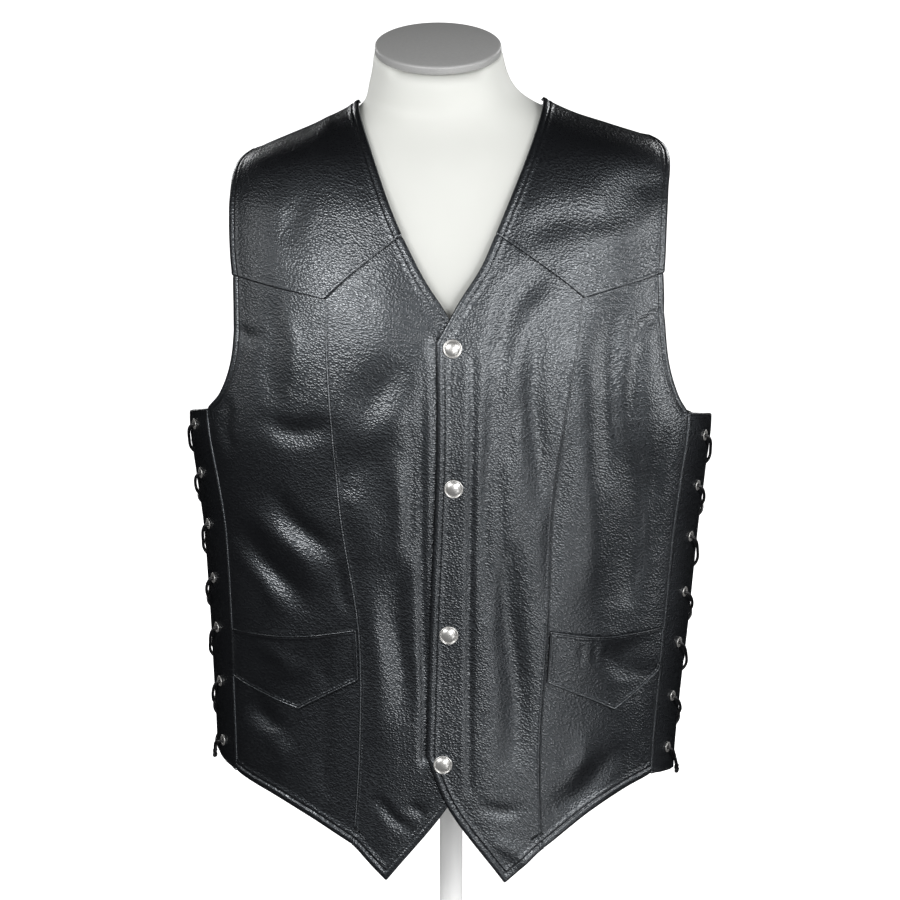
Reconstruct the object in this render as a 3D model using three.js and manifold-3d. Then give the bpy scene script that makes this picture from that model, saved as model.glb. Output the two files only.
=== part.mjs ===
import * as THREE from "three";
import { mergeVertices } from "three/addons/utils/BufferGeometryUtils.js";
import Module from "manifold-3d";

// A men's western leather vest, worn by a limbless dress form on a pole and a round foot.
// Millimetres, +Z up, the front faces -Y and the wearer's left is +X. The foot rests at z = 0.

const manifold = await Module();
manifold.setup();

// Leather and seams
const LEATHER = 1.6;
const DOUBLED_LEATHER = 2.4;
const POCKET_LEATHER = 1.4;
const SEAM_GAP = 0.3;
const YOKE_RISE = 1;
const STRIP_RISE = 0.8;
const LAP_RISE = 1.1;
const LAP_START = 26;
const LAP_END = 58;
const POCKET_INSET = 0.5;
const POCKET_GAPE = [3, 1.1, 0, 0];

// Snap caps, eyelets and laces
const SNAP = { radius: 8, height: 2.4, rim: 0.9, segments: 12 };
const SNAP_SHOULDER = { radius: 7.2, height: 1.73 };
const SNAP_CROWN_RADIUS = 4;
const SNAPS = [[1, 572], [2, 455], [-2, 329], [-7, 217]];
const EYELET = { bore: 2.6, barrel: 2.95, flange: 4.5, thickness: 0.6, lip: 0.2, reach: 0.7, segments: 8 };
const EYELET_HOLE = 3.3;
const DRILL_LENGTH = 12;
const LACE = { diameter: 2.6, sides: 8 };
const KNOT = { radius: 4.2, height: 7.4, waist: 0.75, rise: 3.2, above: 4, segments: 10 };

// How far the lace stands off the vest where it enters and leaves an eyelet, passes over
// one strip's edge and under the other's, and crosses the gap, and how it ends at the knot
const LACE_IN = -5.4;
const LACE_OUT = 4.2;
const LACE_OVER_EDGE = 3;
const LACE_UNDER_EDGE = -4.4;
const LACE_CROSSING = 1.9;
const LACE_SLANT = 0.9;
const LACE_END = { beyondEdge: 2, aboveKnot: 12, besideKnot: 4.7, lift: 1.5 };

// The vest's rounded outline, level by level, and how square each level is. The vest hangs
// a little towards the wearer's right at the hem. Places on it are measured round a circle
// of radius GIRTH, and above CHEST they are found from one point on the upright axis.
const ROUNDNESS = 2.1;
const GIRTH = 180;
const CHEST = 600;
const CHEST_MARGIN = 4;
const HALVINGS = 32;
const NORMAL_STEP = 0.5;
const SECTIONS = [
  { z: 100, half: 195, front: 106, back: 100, shift: -4 },
  { z: 211, half: 197.5, front: 108, back: 101, shift: -4 },
  { z: 304, half: 204, front: 111, back: 98, shift: -1.5 },
  { z: 400, half: 211, front: 118, back: 100, shift: 0 },
  { z: 450, half: 217, front: 122, back: 104, shift: 0 },
  { z: 500, half: 222, front: 125, back: 107, shift: 0 },
  { z: 556, half: 214, front: 126, back: 110, shift: 0 },
  { z: 600, half: 208, front: 121, back: 108, shift: 0 },
  { z: 640, half: 205, front: 112, back: 102, shift: 0 },
  { z: 680, half: 200, front: 99, back: 92, shift: 0 },
  { z: 700, half: 194, front: 90, back: 85, shift: 0 },
  { z: 716, half: 185, front: 81, back: 78, shift: 0 },
  { z: 725, half: 174, front: 75, back: 72, shift: 0 },
  { z: 732, half: 157, front: 70, back: 68, shift: 0 },
  { z: 741, half: 132, front: 63.5, back: 63, shift: 0 },
  { z: 751, half: 105, front: 57, back: 57, shift: 0 },
  { z: 765, half: 76.5, front: 50, back: 51, shift: 0 },
];

// The wearer's left shoulder stands a little higher than the right one
const LEAN = { height: 6.4, at: 178, from: 640, to: 720 };

// The largest folds on the fronts: a soft trough, or a ridge where the depth is negative,
// from one end to the other, in x and z as seen from straight ahead
const FOLDS = [
  { x1: 74, z1: 634, x2: 34, z2: 572, width: 13, depth: 2.6 },
  { x1: 41, z1: 575, x2: 37, z2: 400, width: 8, depth: 2.2 },
  { x1: 49, z1: 392, x2: 52, z2: 225, width: 12, depth: 4 },
  { x1: 70, z1: 590, x2: 72, z2: 440, width: 10, depth: 3 },
  { x1: 138, z1: 600, x2: 126, z2: 465, width: 11, depth: 3.4 },
  { x1: 108, z1: 585, x2: 104, z2: 505, width: 15, depth: -2.2 },
  { x1: 152, z1: 505, x2: 150, z2: 345, width: 19, depth: 5.5 },
  { x1: 118, z1: 500, x2: 112, z2: 372, width: 13, depth: -2.4 },
  { x1: 148, z1: 318, x2: 146, z2: 282, width: 16, depth: 2.6 },
  { x1: 90, z1: 176, x2: 140, z2: 214, width: 11, depth: 2.8 },
  { x1: -40, z1: 560, x2: -100, z2: 452, width: 17, depth: 3.2 },
  { x1: -152, z1: 503, x2: -104, z2: 500, width: 10, depth: 2.6 },
  { x1: -146, z1: 441, x2: -104, z2: 396, width: 9, depth: 2.8 },
  { x1: -160, z1: 428, x2: -114, z2: 374, width: 10, depth: -2.2 },
  { x1: -170, z1: 404, x2: -128, z2: 352, width: 10, depth: 3.4 },
  { x1: -44, z1: 376, x2: -37, z2: 222, width: 13, depth: 3.4 },
  { x1: -141, z1: 316, x2: -141, z2: 284, width: 14, depth: -2 },
  { x1: -164, z1: 268, x2: -152, z2: 236, width: 10, depth: 2.8 },
];
const BACK_FOLDS = [
  { x1: 96, z1: 640, x2: 40, z2: 560, width: 16, depth: 3 },
  { x1: -88, z1: 632, x2: -46, z2: 540, width: 17, depth: 3.4 },
  { x1: 128, z1: 520, x2: 118, z2: 330, width: 18, depth: 4.4 },
  { x1: -130, z1: 490, x2: -112, z2: 300, width: 18, depth: 4.6 },
  { x1: 60, z1: 420, x2: 74, z2: 240, width: 20, depth: 3.6 },
  { x1: -36, z1: 440, x2: -52, z2: 230, width: 22, depth: 3.8 },
  { x1: 14, z1: 520, x2: 6, z2: 300, width: 20, depth: -2.4 },
];
const FOLD_CLEAR = { from: 22, to: 44 };

// The cut of each front, as x and z seen from straight ahead. A shoulder or neck point
// on the ridge is written as its level there.
const SHOULDER_NECK = 765;
const SHOULDER_TIP = 727;
const LEFT = {
  side: 1,
  yokeNeck: [[62, 724], [48, 691], [36, 663]],
  neck: [[36, 663], [24, 637], [7, 611], [-12, 577]],
  edge: [[-12, 577], [-12, 488], [-18, 325], [-21, 223]],
  point: [[-21, 223], [-3, 179], [45, 112]],
  hemFront: [[45, 112], [78, 141]],
  hemSide: [[78, 141], [117, 170], [148, 187]],
  yokeFront: [[36, 663], [109, 610]],
  yokeSide: [[109, 610], [177, 626]],
  seam: [[109, 610], [98, 528], [87, 444], [82, 332], [76, 219], [78, 141]],
  armholeYoke: [[177, 626], [181, 692]],
  armhole: [[177, 626], [181, 556], [190, 524]],
  pocketTop: [[82, 330], [125, 324]],
  pocketPoint: [137, 257],
  stripSeam: [[510, 60], [433, 60], [325, 57], [287, 56], [195, 54]],
  backSeam: [[497, -58], [400, -58], [300, -56], [187, -54]],
  eyelet: 36,
  edgeOfStrip: 16,
  hemAtEdge: 190,
  backHemAtEdge: 182,
  eyelets: [485, 442, 398, 350, 306, 259, 214],
};
const RIGHT = {
  side: -1,
  yokeNeck: [[-66, 729], [-50, 685], [-40, 662]],
  neck: [[-40, 662], [-22, 628], [-4, 601], [12, 572]],
  edge: [[12, 572], [16, 500], [18, 325], [19, 222]],
  point: [[19, 222], [-3, 179], [-55, 114]],
  hemFront: [[-55, 114], [-84, 145]],
  hemSide: [[-84, 145], [-119, 166], [-150, 182]],
  yokeFront: [[-40, 662], [-104, 609]],
  yokeSide: [[-104, 609], [-182, 623]],
  seam: [[-104, 609], [-102, 528], [-93, 425], [-79, 332], [-79, 219], [-84, 145]],
  armholeYoke: [[-182, 623], [-184, 693]],
  armhole: [[-182, 623], [-183, 560], [-193, 527]],
  pocketTop: [[-79, 327], [-127, 325]],
  pocketPoint: [-128, 259],
  stripSeam: [[512, 52], [433, 57], [322, 53], [280, 51], [196, 49]],
  backSeam: [[500, -53], [400, -55], [300, -52], [187, -50]],
  eyelet: 32,
  edgeOfStrip: 12,
  hemAtEdge: 207,
  backHemAtEdge: 196,
  eyelets: [494, 452, 408, 361, 318, 271, 219],
};

// Rows down a front, counted from the yoke, and the share of the vertical seam above each.
// Rows run through the neckline's corner, the pocket's two edges and the lower corner.
const ROWS = [
  { row: 0, share: 0 },
  { row: 4, share: 0.12 },
  { row: 12, share: 0.597 },
  { row: 15, share: 0.693 },
  { row: 18, share: 0.8 },
  { row: 23, share: 1 },
];
const ARMHOLE_ROWS = 6;
const FRONT_COLUMNS = 8;
const SIDE_COLUMNS = 8;
const YOKE_ROWS = 7;
const STRIP_COLUMNS = 3;
const STRIP_TOP_SLANT = 9;
const BACK_STRIP_ROWS = 9;
const BACK_ARMHOLE_ROWS = 10;
// Rows lie closer together near the shoulder, where the cloth turns over it
const SHOULDER_EASE = 1.6;
const SHOULDER_GAP = 0.6;
const BACK_NECK = [[90, 765], [112, 757], [145, 752.5], [180, 751]];
const BACK_ARMHOLE = [[509, -68], [556, -78], [620, -70], [670, -50], [700, -27]];
const BACK_DROP = 12;
const SHOULDER_COLUMNS = 5;
const BACK_NECK_COLUMNS = 10;

// The dress form: room between the cloth and the torso, then the neck above it
const SHOULDER_DROP = 2.6;
const EASE = [
  { z: 215, side: 37, front: 26, back: 22 },
  { z: 300, side: 38, front: 24, back: 20 },
  { z: 400, side: 41, front: 23, back: 20 },
  { z: 500, side: 45, front: 21, back: 18 },
  { z: 556, side: 36, front: 16, back: 16 },
  { z: 600, side: 31, front: 12, back: 12 },
  { z: 650, side: 28, front: 7, back: 8 },
  { z: 690, side: 23, front: 4, back: 5.2 },
  { z: 716, side: 12, front: 2.6, back: 5.1 },
  { z: 727, side: 4, front: 2.2, back: 5 },
  { z: 742, side: 1.6, front: 2, back: 4.8 },
];
const TORSO_LEVELS = [
  215, 219, 260, 310, 360, 410, 455, 500, 540, 575, 605, 633, 658, 680, 698, 710, 718, 725, 732, 740,
];
const NECK = [
  { z: 748.5, half: 102, front: 56, back: 51.5, shift: 0, tilt: 0 },
  { z: 757.5, half: 80, front: 53.5, back: 47.5, shift: -0.5, tilt: 1.5 },
  { z: 767, half: 66.5, front: 53.5, back: 48, shift: -4.5, tilt: 4.5 },
  { z: 777, half: 61, front: 55.5, back: 49, shift: -9, tilt: 8 },
  { z: 790, half: 56.5, front: 57.5, back: 49.5, shift: -10, tilt: 13 },
  { z: 806, half: 54, front: 59, back: 50, shift: -11, tilt: 16 },
];
const TORSO_SEGMENTS = 28;
const SIDE_CROWDING = 0.3;
const TORSO_FOOT_ROUND = 8;
const NECK_CAP = { radius: 53.3, depth: 1.02, height: 8, edge: 2, dome: 5, bendRadius: 29.3, bendHeight: 3.5 };
const NECK_CAP_SEAT = { x: -11, y: -4.5, z: 805.1, tilt: 16 };
const POLE = { radius: 10, bottom: 14, top: 206.7 };
const COLLAR = { radius: 32, neck: 14.5, bottom: 190, top: 214.7, bore: 10.6, plate: 3, taper: 6 };
const FOOT = { radius: 135, height: 9, edge: 3, rise: 0.5, boss: 22, bossTop: 13.7 };
const CAP_SEGMENTS = 24;
const COLLAR_SEGMENTS = 20;
const POLE_SEGMENTS = 16;
const FOOT_SEGMENTS = 28;

const MATERIALS = {
  leather: { color: 0x14110f, roughness: 0.42, metalness: 0 },
  lace: { color: 0x0e0d0c, roughness: 0.5, metalness: 0 },
  nickel: { color: 0xb4b1aa, roughness: 0.3, metalness: 1 },
  cover: { color: 0xe9e3d4, roughness: 0.85, metalness: 0 },
  steel: { color: 0x9b9a97, roughness: 0.35, metalness: 1 },
  stand: { color: 0xf2f1ee, roughness: 0.4, metalness: 0 },
};

// Smooth value of one column of a table at a level, through all of its rows
function sizeAt(table, column, z) {
  const last = table.length - 1;
  let k = 0;
  while (k < last - 1 && z > table[k + 1].z) {
    k += 1;
  }
  const slope = (i) => {
    const below = table[Math.max(i - 1, 0)];
    const above = table[Math.min(i + 1, last)];
    return (above[column] - below[column]) / (above.z - below.z);
  };
  const low = table[k];
  const high = table[k + 1];
  const span = high.z - low.z;
  const t = THREE.MathUtils.clamp((z - low.z) / span, 0, 1);
  const bend = t * (1 - t);
  const straight = low[column] + (high[column] - low[column]) * t;
  const chord = (high[column] - low[column]) / span;
  return straight + bend * span * ((1 - t) * (slope(k) - chord) - t * (slope(k + 1) - chord));
}

// The body under and around the vest. A place on it is a Vector2: the turn about the
// upright axis, as millimetres on a circle of GIRTH, and the level.

function shoulderLean(x, z) {
  const share = x / LEAN.at;
  return LEAN.height * share * Math.abs(share) * THREE.MathUtils.smoothstep(z, LEAN.from, LEAN.to);
}

// A point of a rounded level at a turn about the upright axis
function onLevel(turn, half, frontDepth, backDepth) {
  const depth = Math.cos(turn) > 0 ? frontDepth : backDepth;
  const across = Math.abs(Math.sin(turn)) / half;
  const inward = Math.abs(Math.cos(turn)) / depth;
  const radius = (across ** ROUNDNESS + inward ** ROUNDNESS) ** (-1 / ROUNDNESS);
  return [radius * Math.sin(turn), -radius * Math.cos(turn)];
}

function bodyPoint(place) {
  const size = (column) => sizeAt(SECTIONS, column, place.y);
  const [x, y] = onLevel(place.x / GIRTH, size("half"), size("front"), size("back"));
  return new THREE.Vector3(x + size("shift"), y, place.y + shoulderLean(x, place.y));
}

function bodyNormal(place) {
  const right = bodyPoint(new THREE.Vector2(place.x + NORMAL_STEP, place.y));
  right.sub(bodyPoint(new THREE.Vector2(place.x - NORMAL_STEP, place.y)));
  const up = bodyPoint(new THREE.Vector2(place.x, place.y + NORMAL_STEP));
  up.sub(bodyPoint(new THREE.Vector2(place.x, place.y - NORMAL_STEP)));
  return right.cross(up).normalize();
}

function foldDepth(point) {
  const folds = point.y < 0 ? FOLDS : BACK_FOLDS;
  let total = 0;
  for (const fold of folds) {
    const from = new THREE.Vector2(fold.x1, fold.z1);
    const run = new THREE.Vector2(fold.x2, fold.z2).sub(from);
    const length = run.length();
    const reach = new THREE.Vector2(point.x, point.z).sub(from);
    const along = reach.dot(run) / length;
    const off = reach.cross(run) / length / fold.width;
    const past = Math.max(-along, along - length, 0) / fold.width;
    total += fold.depth * Math.exp(-off * off - past * past);
  }
  const lap = point.y < 0 ? THREE.MathUtils.smoothstep(Math.abs(point.x), FOLD_CLEAR.from, FOLD_CLEAR.to) : 1;
  return total * lap;
}

// A point that stands off the vest's face by its rise
function skin(place, rise) {
  const point = bodyPoint(place);
  return point.addScaledVector(bodyNormal(place), rise - foldDepth(point));
}

// A place from x and z on the front
function front(x, z) {
  const level = z - shoulderLean(x, z);
  const aside = x - sizeAt(SECTIONS, "shift", level);
  const share = Math.min(Math.abs(aside) / sizeAt(SECTIONS, "half", level), 1);
  const depth = sizeAt(SECTIONS, "front", level) * (1 - share ** ROUNDNESS) ** (1 / ROUNDNESS);
  return new THREE.Vector2(Math.atan2(aside, depth) * GIRTH, level);
}

// A place beside an arm, from how far it lies forward of the middle of the side
function beside(side, level, forward) {
  const depth = sizeAt(SECTIONS, forward > 0 ? "front" : "back", level);
  const share = Math.min(Math.abs(forward) / depth, 1);
  const x = sizeAt(SECTIONS, "half", level) * (1 - share ** ROUNDNESS) ** (1 / ROUNDNESS);
  return new THREE.Vector2(side * Math.atan2(x, forward) * GIRTH, level);
}

function ridge(side, level) {
  return beside(side, level, 0);
}

// The place under a point near the body: straight in towards the upright axis below the
// chest, and towards one point on that axis above it
function placeUnder(point) {
  if (point.z <= CHEST) {
    const aside = point.x - sizeAt(SECTIONS, "shift", point.z);
    return new THREE.Vector2(Math.atan2(aside, -point.y) * GIRTH, point.z);
  }
  const turn = Math.atan2(point.x, -point.y);
  const steepness = (point.z - CHEST) / Math.hypot(point.x, point.y);
  let low = CHEST;
  let high = SECTIONS.at(-1).z + CHEST_MARGIN;
  for (let i = 0; i < HALVINGS; i += 1) {
    const middle = (low + high) / 2;
    const there = bodyPoint(new THREE.Vector2(turn * GIRTH, middle));
    if ((there.z - CHEST) / Math.hypot(there.x, there.y) < steepness) {
      low = middle;
    } else {
      high = middle;
    }
  }
  return new THREE.Vector2(turn * GIRTH, low);
}

// Places along a smooth line, at given shares of its length
function along(places, shares) {
  const line = new THREE.CatmullRomCurve3(places.map(bodyPoint));
  return shares.map((share) => placeUnder(line.getPointAt(share)));
}

function even(count) {
  return Array.from({ length: count + 1 }, (_, i) => i / count);
}

function fromShoulder(count) {
  return even(count).map((share) => share ** SHOULDER_EASE);
}

function joined(...lines) {
  return lines.flatMap((line, i) => (i === 0 ? line : line.slice(1)));
}

// Rows of places between four edge lines that share their corners
function fill(top, bottom, left, right) {
  const rows = left.length - 1;
  const columns = top.length - 1;
  const [topPoints, bottomPoints, leftPoints, rightPoints] = [top, bottom, left, right].map((line) => (
    line.map(bodyPoint)
  ));
  return leftPoints.map((leftPoint, i) => topPoints.map((topPoint, j) => {
    const v = i / rows;
    const u = j / columns;
    const point = topPoint.clone().multiplyScalar(1 - v);
    point.addScaledVector(bottomPoints[j], v);
    point.addScaledVector(leftPoint, 1 - u);
    point.addScaledVector(rightPoints[i], u);
    point.addScaledVector(topPoints[0], -(1 - u) * (1 - v));
    point.addScaledVector(topPoints[columns], -u * (1 - v));
    point.addScaledVector(bottomPoints[0], -(1 - u) * v);
    point.addScaledVector(bottomPoints[columns], -u * v);
    return placeUnder(point);
  }));
}

// A place on the straight way between two others
function mix(from, to, share) {
  return placeUnder(bodyPoint(from).lerp(bodyPoint(to), share));
}

// The same rows, a little smaller on every edge, which leaves the gap of a seam
function insetRows(rows, inset, topInset = inset) {
  const pull = (edge, next, amount = inset) => {
    const distance = skin(edge, 0).distanceTo(skin(next, 0));
    return mix(edge, next, amount / distance);
  };
  const narrow = rows.map((row) => {
    const last = row.length - 1;
    return [pull(row[0], row[1]), ...row.slice(1, last), pull(row[last], row[last - 1])];
  });
  const last = narrow.length - 1;
  const top = narrow[0].map((place, j) => pull(place, narrow[1][j], topInset));
  const bottom = narrow[last].map((place, j) => pull(place, narrow[last - 1][j]));
  return [top, ...narrow.slice(1, last), bottom];
}

function signedVolume(points, faces) {
  let total = 0;
  for (let i = 0; i < faces.length; i += 3) {
    const [a, b, c] = [points[faces[i]], points[faces[i + 1]], points[faces[i + 2]]];
    total += a.dot(b.clone().cross(c));
  }
  return total / 6;
}

function meshGeometry(points, faces) {
  const outward = signedVolume(points, faces) > 0 ? faces : faces.slice().reverse();
  const geometry = new THREE.BufferGeometry();
  geometry.setAttribute("position", new THREE.Float32BufferAttribute(points.flatMap((p) => p.toArray()), 3));
  geometry.setIndex(outward);
  return geometry;
}

// A closed wall between two matching grids of points
function wallGeometry(outer, inner) {
  const rows = outer.length;
  const columns = outer[0].length;
  const points = [...outer.flat(), ...inner.flat()];
  const at = (layer, i, j) => layer * rows * columns + i * columns + j;
  const faces = [];
  const quad = (a, b, c, d) => faces.push(a, b, c, a, c, d);
  for (let i = 0; i < rows - 1; i += 1) {
    for (let j = 0; j < columns - 1; j += 1) {
      quad(at(0, i, j), at(0, i + 1, j), at(0, i + 1, j + 1), at(0, i, j + 1));
      quad(at(1, i, j), at(1, i, j + 1), at(1, i + 1, j + 1), at(1, i + 1, j));
    }
    quad(at(0, i, 0), at(1, i, 0), at(1, i + 1, 0), at(0, i + 1, 0));
    quad(at(0, i, columns - 1), at(0, i + 1, columns - 1), at(1, i + 1, columns - 1), at(1, i, columns - 1));
  }
  for (let j = 0; j < columns - 1; j += 1) {
    quad(at(0, 0, j), at(0, 0, j + 1), at(1, 0, j + 1), at(1, 0, j));
    quad(at(0, rows - 1, j), at(1, rows - 1, j), at(1, rows - 1, j + 1), at(0, rows - 1, j + 1));
  }
  return meshGeometry(points, faces);
}

// A cloth panel of one leather thickness
function panelGeometry(rows, thickness, riseAt, topInset) {
  const cut = insetRows(rows, SEAM_GAP / 2, topInset);
  const outer = cut.map((row) => row.map((place) => skin(place, riseAt(place))));
  const inner = cut.map((row) => row.map((place) => skin(place, riseAt(place) - thickness)));
  return wallGeometry(outer, inner);
}

function toSolid(geometry) {
  const plain = geometry.clone();
  plain.deleteAttribute("normal");
  plain.deleteAttribute("uv");
  const merged = mergeVertices(plain, 1e-4);
  return new manifold.Manifold(new manifold.Mesh({
    numProp: 3,
    vertProperties: merged.attributes.position.array,
    triVerts: new Uint32Array(merged.index.array),
  }));
}

function fromSolid(body) {
  const mesh = body.getMesh();
  const geometry = new THREE.BufferGeometry();
  geometry.setAttribute("position", new THREE.BufferAttribute(new Float32Array(mesh.vertProperties), 3));
  geometry.setIndex(new THREE.BufferAttribute(new Uint32Array(mesh.triVerts), 1));
  return geometry;
}

const group = new THREE.Group();

function add(name, geometry, material) {
  const mesh = new THREE.Mesh(geometry, new THREE.MeshStandardMaterial(MATERIALS[material]));
  mesh.name = name;
  group.add(mesh);
  return mesh;
}

// Stands a turned piece on the vest's face, its own +Y pointing outward
function standOn(mesh, place, rise) {
  mesh.position.copy(skin(place, rise));
  mesh.quaternion.setFromUnitVectors(new THREE.Vector3(0, 1, 0), bodyNormal(place));
}

// How far a front stands off the body: the left one laps over the right one in the middle
function lapRise(cut) {
  return (place) => {
    const x = Math.abs(bodyPoint(place).x);
    return cut.side * LAP_RISE * (1 - THREE.MathUtils.smoothstep(x, LAP_START, LAP_END));
  };
}

// The edge lines of one half of the vest, as places
function edgeLines(cut) {
  const places = (points) => points.map(([x, z]) => front(x, z));
  const sides = (rows) => rows.map(([level, forward]) => beside(cut.side, level, forward));
  const rows = ROWS.at(-1).row;
  const seamShares = even(rows).map((_, i) => {
    const k = ROWS.findIndex((station) => station.row >= i && station.row > 0);
    const high = ROWS[k];
    const low = ROWS[k - 1];
    return low.share + (high.share - low.share) * (i - low.row) / (high.row - low.row);
  });
  const stripSeam = sides(cut.stripSeam);
  const hemCorner = stripSeam.at(-1);
  const pocketRow = ROWS[2].row;
  const pointRow = ROWS[3].row;
  const stripRows = joined(
    along(stripSeam.slice(0, 3), even(pocketRow - ARMHOLE_ROWS)),
    along(stripSeam.slice(2, 4), even(pointRow - pocketRow)),
    along(stripSeam.slice(3), even(rows - pointRow)),
  );
  return {
    rows,
    pocketRow,
    pointRow,
    seam: along(places(cut.seam), seamShares),
    neckAndEdge: joined(
      along(places(cut.neck), even(ROWS[1].row)),
      along(places(cut.edge), even(ROWS[4].row - ROWS[1].row)),
      along(places(cut.point), even(rows - ROWS[4].row)),
    ),
    hemFront: along(places(cut.hemFront), even(FRONT_COLUMNS)),
    hemSide: along([...places(cut.hemSide), hemCorner], even(SIDE_COLUMNS)),
    yokeFront: along(places(cut.yokeFront), even(FRONT_COLUMNS)),
    yokeSide: along(places(cut.yokeSide), even(SIDE_COLUMNS)),
    armhole: along([...places(cut.armhole), stripSeam[0]], even(ARMHOLE_ROWS)),
    stripRows,
    yokeNeck: along([ridge(cut.side, SHOULDER_NECK), ...places(cut.yokeNeck)], fromShoulder(YOKE_ROWS)),
    armholeYoke: along(
      [ridge(cut.side, SHOULDER_TIP), ...places(cut.armholeYoke).reverse()],
      fromShoulder(YOKE_ROWS),
    ),
    shoulder: even(FRONT_COLUMNS + SIDE_COLUMNS).map((share) => (
      ridge(cut.side, THREE.MathUtils.lerp(SHOULDER_NECK, SHOULDER_TIP, share))
    )),
    pocketPoint: front(...cut.pocketPoint),
    pocketTop: places(cut.pocketTop),
  };
}

function yoke(name, lines) {
  const bottom = joined(lines.yokeFront, lines.yokeSide);
  const rows = fill(lines.shoulder, bottom, lines.yokeNeck, lines.armholeYoke);
  add(name, panelGeometry(rows, LEATHER, () => YOKE_RISE, SHOULDER_GAP / 2), "leather");
}

function centreFront(name, cut, lines) {
  const rows = fill(lines.yokeFront, lines.hemFront, lines.neckAndEdge, lines.seam);
  add(name, panelGeometry(rows, LEATHER, lapRise(cut)), "leather");
}

// The rows of a side front, with the pocket's edges among them
function sideFrontRows(lines) {
  const right = joined(lines.armhole, lines.stripRows);
  const { pocketRow, pointRow, rows } = lines;
  const topEdge = [lines.seam[pocketRow], lines.pocketTop[1], right[pocketRow]];
  const pocketTop = along(topEdge, even(SIDE_COLUMNS));
  const toPoint = along([lines.seam[pointRow], lines.pocketPoint], even(Math.floor(SIDE_COLUMNS / 2)));
  const fromPoint = along([lines.pocketPoint, right[pointRow]], even(Math.ceil(SIDE_COLUMNS / 2)));
  const pocketBottom = joined(toPoint, fromPoint);
  const band = (from, to, top, bottom) => (
    fill(top, bottom, lines.seam.slice(from, to + 1), right.slice(from, to + 1))
  );
  return joined(
    band(0, pocketRow, lines.yokeSide, pocketTop),
    band(pocketRow, pointRow, pocketTop, pocketBottom),
    band(pointRow, rows, pocketBottom, lines.hemSide),
  );
}

// The pocket patch lies on the side front's own points, its top edge standing off a little
function pocket(name, lines, panelRows) {
  const cut = insetRows(panelRows, SEAM_GAP / 2);
  const rows = cut.slice(lines.pocketRow, lines.pointRow + 1);
  const lay = (thickness) => rows.map((row, i) => {
    const points = row.map((place, j) => {
      const gape = POCKET_GAPE[i] * Math.sin(Math.PI * j / (row.length - 1));
      return skin(place, SEAM_GAP + thickness + gape);
    });
    const last = points.length - 1;
    const shorten = (edge, next) => edge.clone().lerp(next, POCKET_INSET / edge.distanceTo(next));
    return [shorten(points[0], points[1]), ...points.slice(1, last), shorten(points[last], points[last - 1])];
  });
  add(name, wallGeometry(lay(POCKET_LEATHER), lay(0)), "leather");
}

// A strip of doubled leather with a hole for each eyelet
function strip(name, cut, seamPlaces, facing, eyeletPlaces) {
  const shares = even(seamPlaces.length - 1);
  const top = seamPlaces[0].y;
  const edge = shares.map((share) => {
    const hem = facing > 0 ? cut.hemAtEdge : cut.backHemAtEdge;
    const level = THREE.MathUtils.lerp(top - STRIP_TOP_SLANT, hem, share);
    return beside(cut.side, level, facing * cut.edgeOfStrip);
  });
  const rows = seamPlaces.map((place, i) => (
    even(STRIP_COLUMNS).map((share) => mix(place, edge[i], share))
  ));
  let body = toSolid(panelGeometry(rows, DOUBLED_LEATHER, () => STRIP_RISE));
  for (const place of eyeletPlaces) {
    const round = new THREE.CylinderGeometry(EYELET_HOLE, EYELET_HOLE, DRILL_LENGTH, EYELET.segments);
    const drill = new THREE.Mesh(round);
    standOn(drill, place, 0);
    drill.updateMatrixWorld();
    body = body.subtract(toSolid(drill.geometry.applyMatrix4(drill.matrixWorld)));
  }
  add(name, fromSolid(body), "leather");
}

function eyelet(name, place) {
  const under = -DOUBLED_LEATHER - EYELET.reach;
  const flangeFoot = SEAM_GAP;
  const flangeTop = SEAM_GAP + EYELET.thickness;
  const profile = [
    [EYELET.bore, under],
    [EYELET.barrel, under],
    [EYELET.barrel, flangeFoot],
    [EYELET.flange, flangeFoot],
    [EYELET.flange, flangeTop],
    [EYELET.bore, flangeTop + EYELET.lip],
    [EYELET.bore, under],
  ].map(([radius, height]) => new THREE.Vector2(radius, height));
  const mesh = add(name, new THREE.LatheGeometry(profile, EYELET.segments), "nickel");
  standOn(mesh, place, STRIP_RISE);
}

// A line of straight steps: each step of the tube ends on one of its points
class StepPath extends THREE.CatmullRomCurve3 {
  getUtoTmapping(u) {
    return u;
  }
}

// The lace's way through the eyelets: out of one, down over its strip's edge, across the gap,
// under the other strip's edge and out of that strip's next eyelet
function strand(cut, firstFacing) {
  const stop = (forward, level, rise) => ({ forward, level, rise });
  const route = [];
  cut.eyelets.forEach((frontLevel, row) => {
    const facing = row % 2 === 0 ? firstFacing : -firstFacing;
    const crossing = firstFacing * LACE_CROSSING;
    const level = frontLevel - (facing > 0 ? 0 : BACK_DROP);
    route.push(stop(facing * cut.eyelet, level + LACE_SLANT, LACE_IN));
    route.push(stop(facing * cut.eyelet, level - LACE_SLANT, LACE_OUT));
    if (row === cut.eyelets.length - 1) {
      return;
    }
    const next = cut.eyelets[row + 1] - (facing > 0 ? BACK_DROP : 0);
    const share = (cut.eyelet - cut.edgeOfStrip) / (2 * cut.eyelet);
    const drop = level - next;
    route.push(stop(facing * (cut.edgeOfStrip + 1), level - drop * share, LACE_OVER_EDGE));
    route.push(stop(0, level - drop / 2, crossing));
    route.push(stop(-facing * cut.edgeOfStrip, next + drop * share, LACE_UNDER_EDGE));
  });
  return route;
}

function knotStop(cut) {
  return { forward: 0, level: cut.backHemAtEdge + KNOT.above, rise: KNOT.rise };
}

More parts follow.
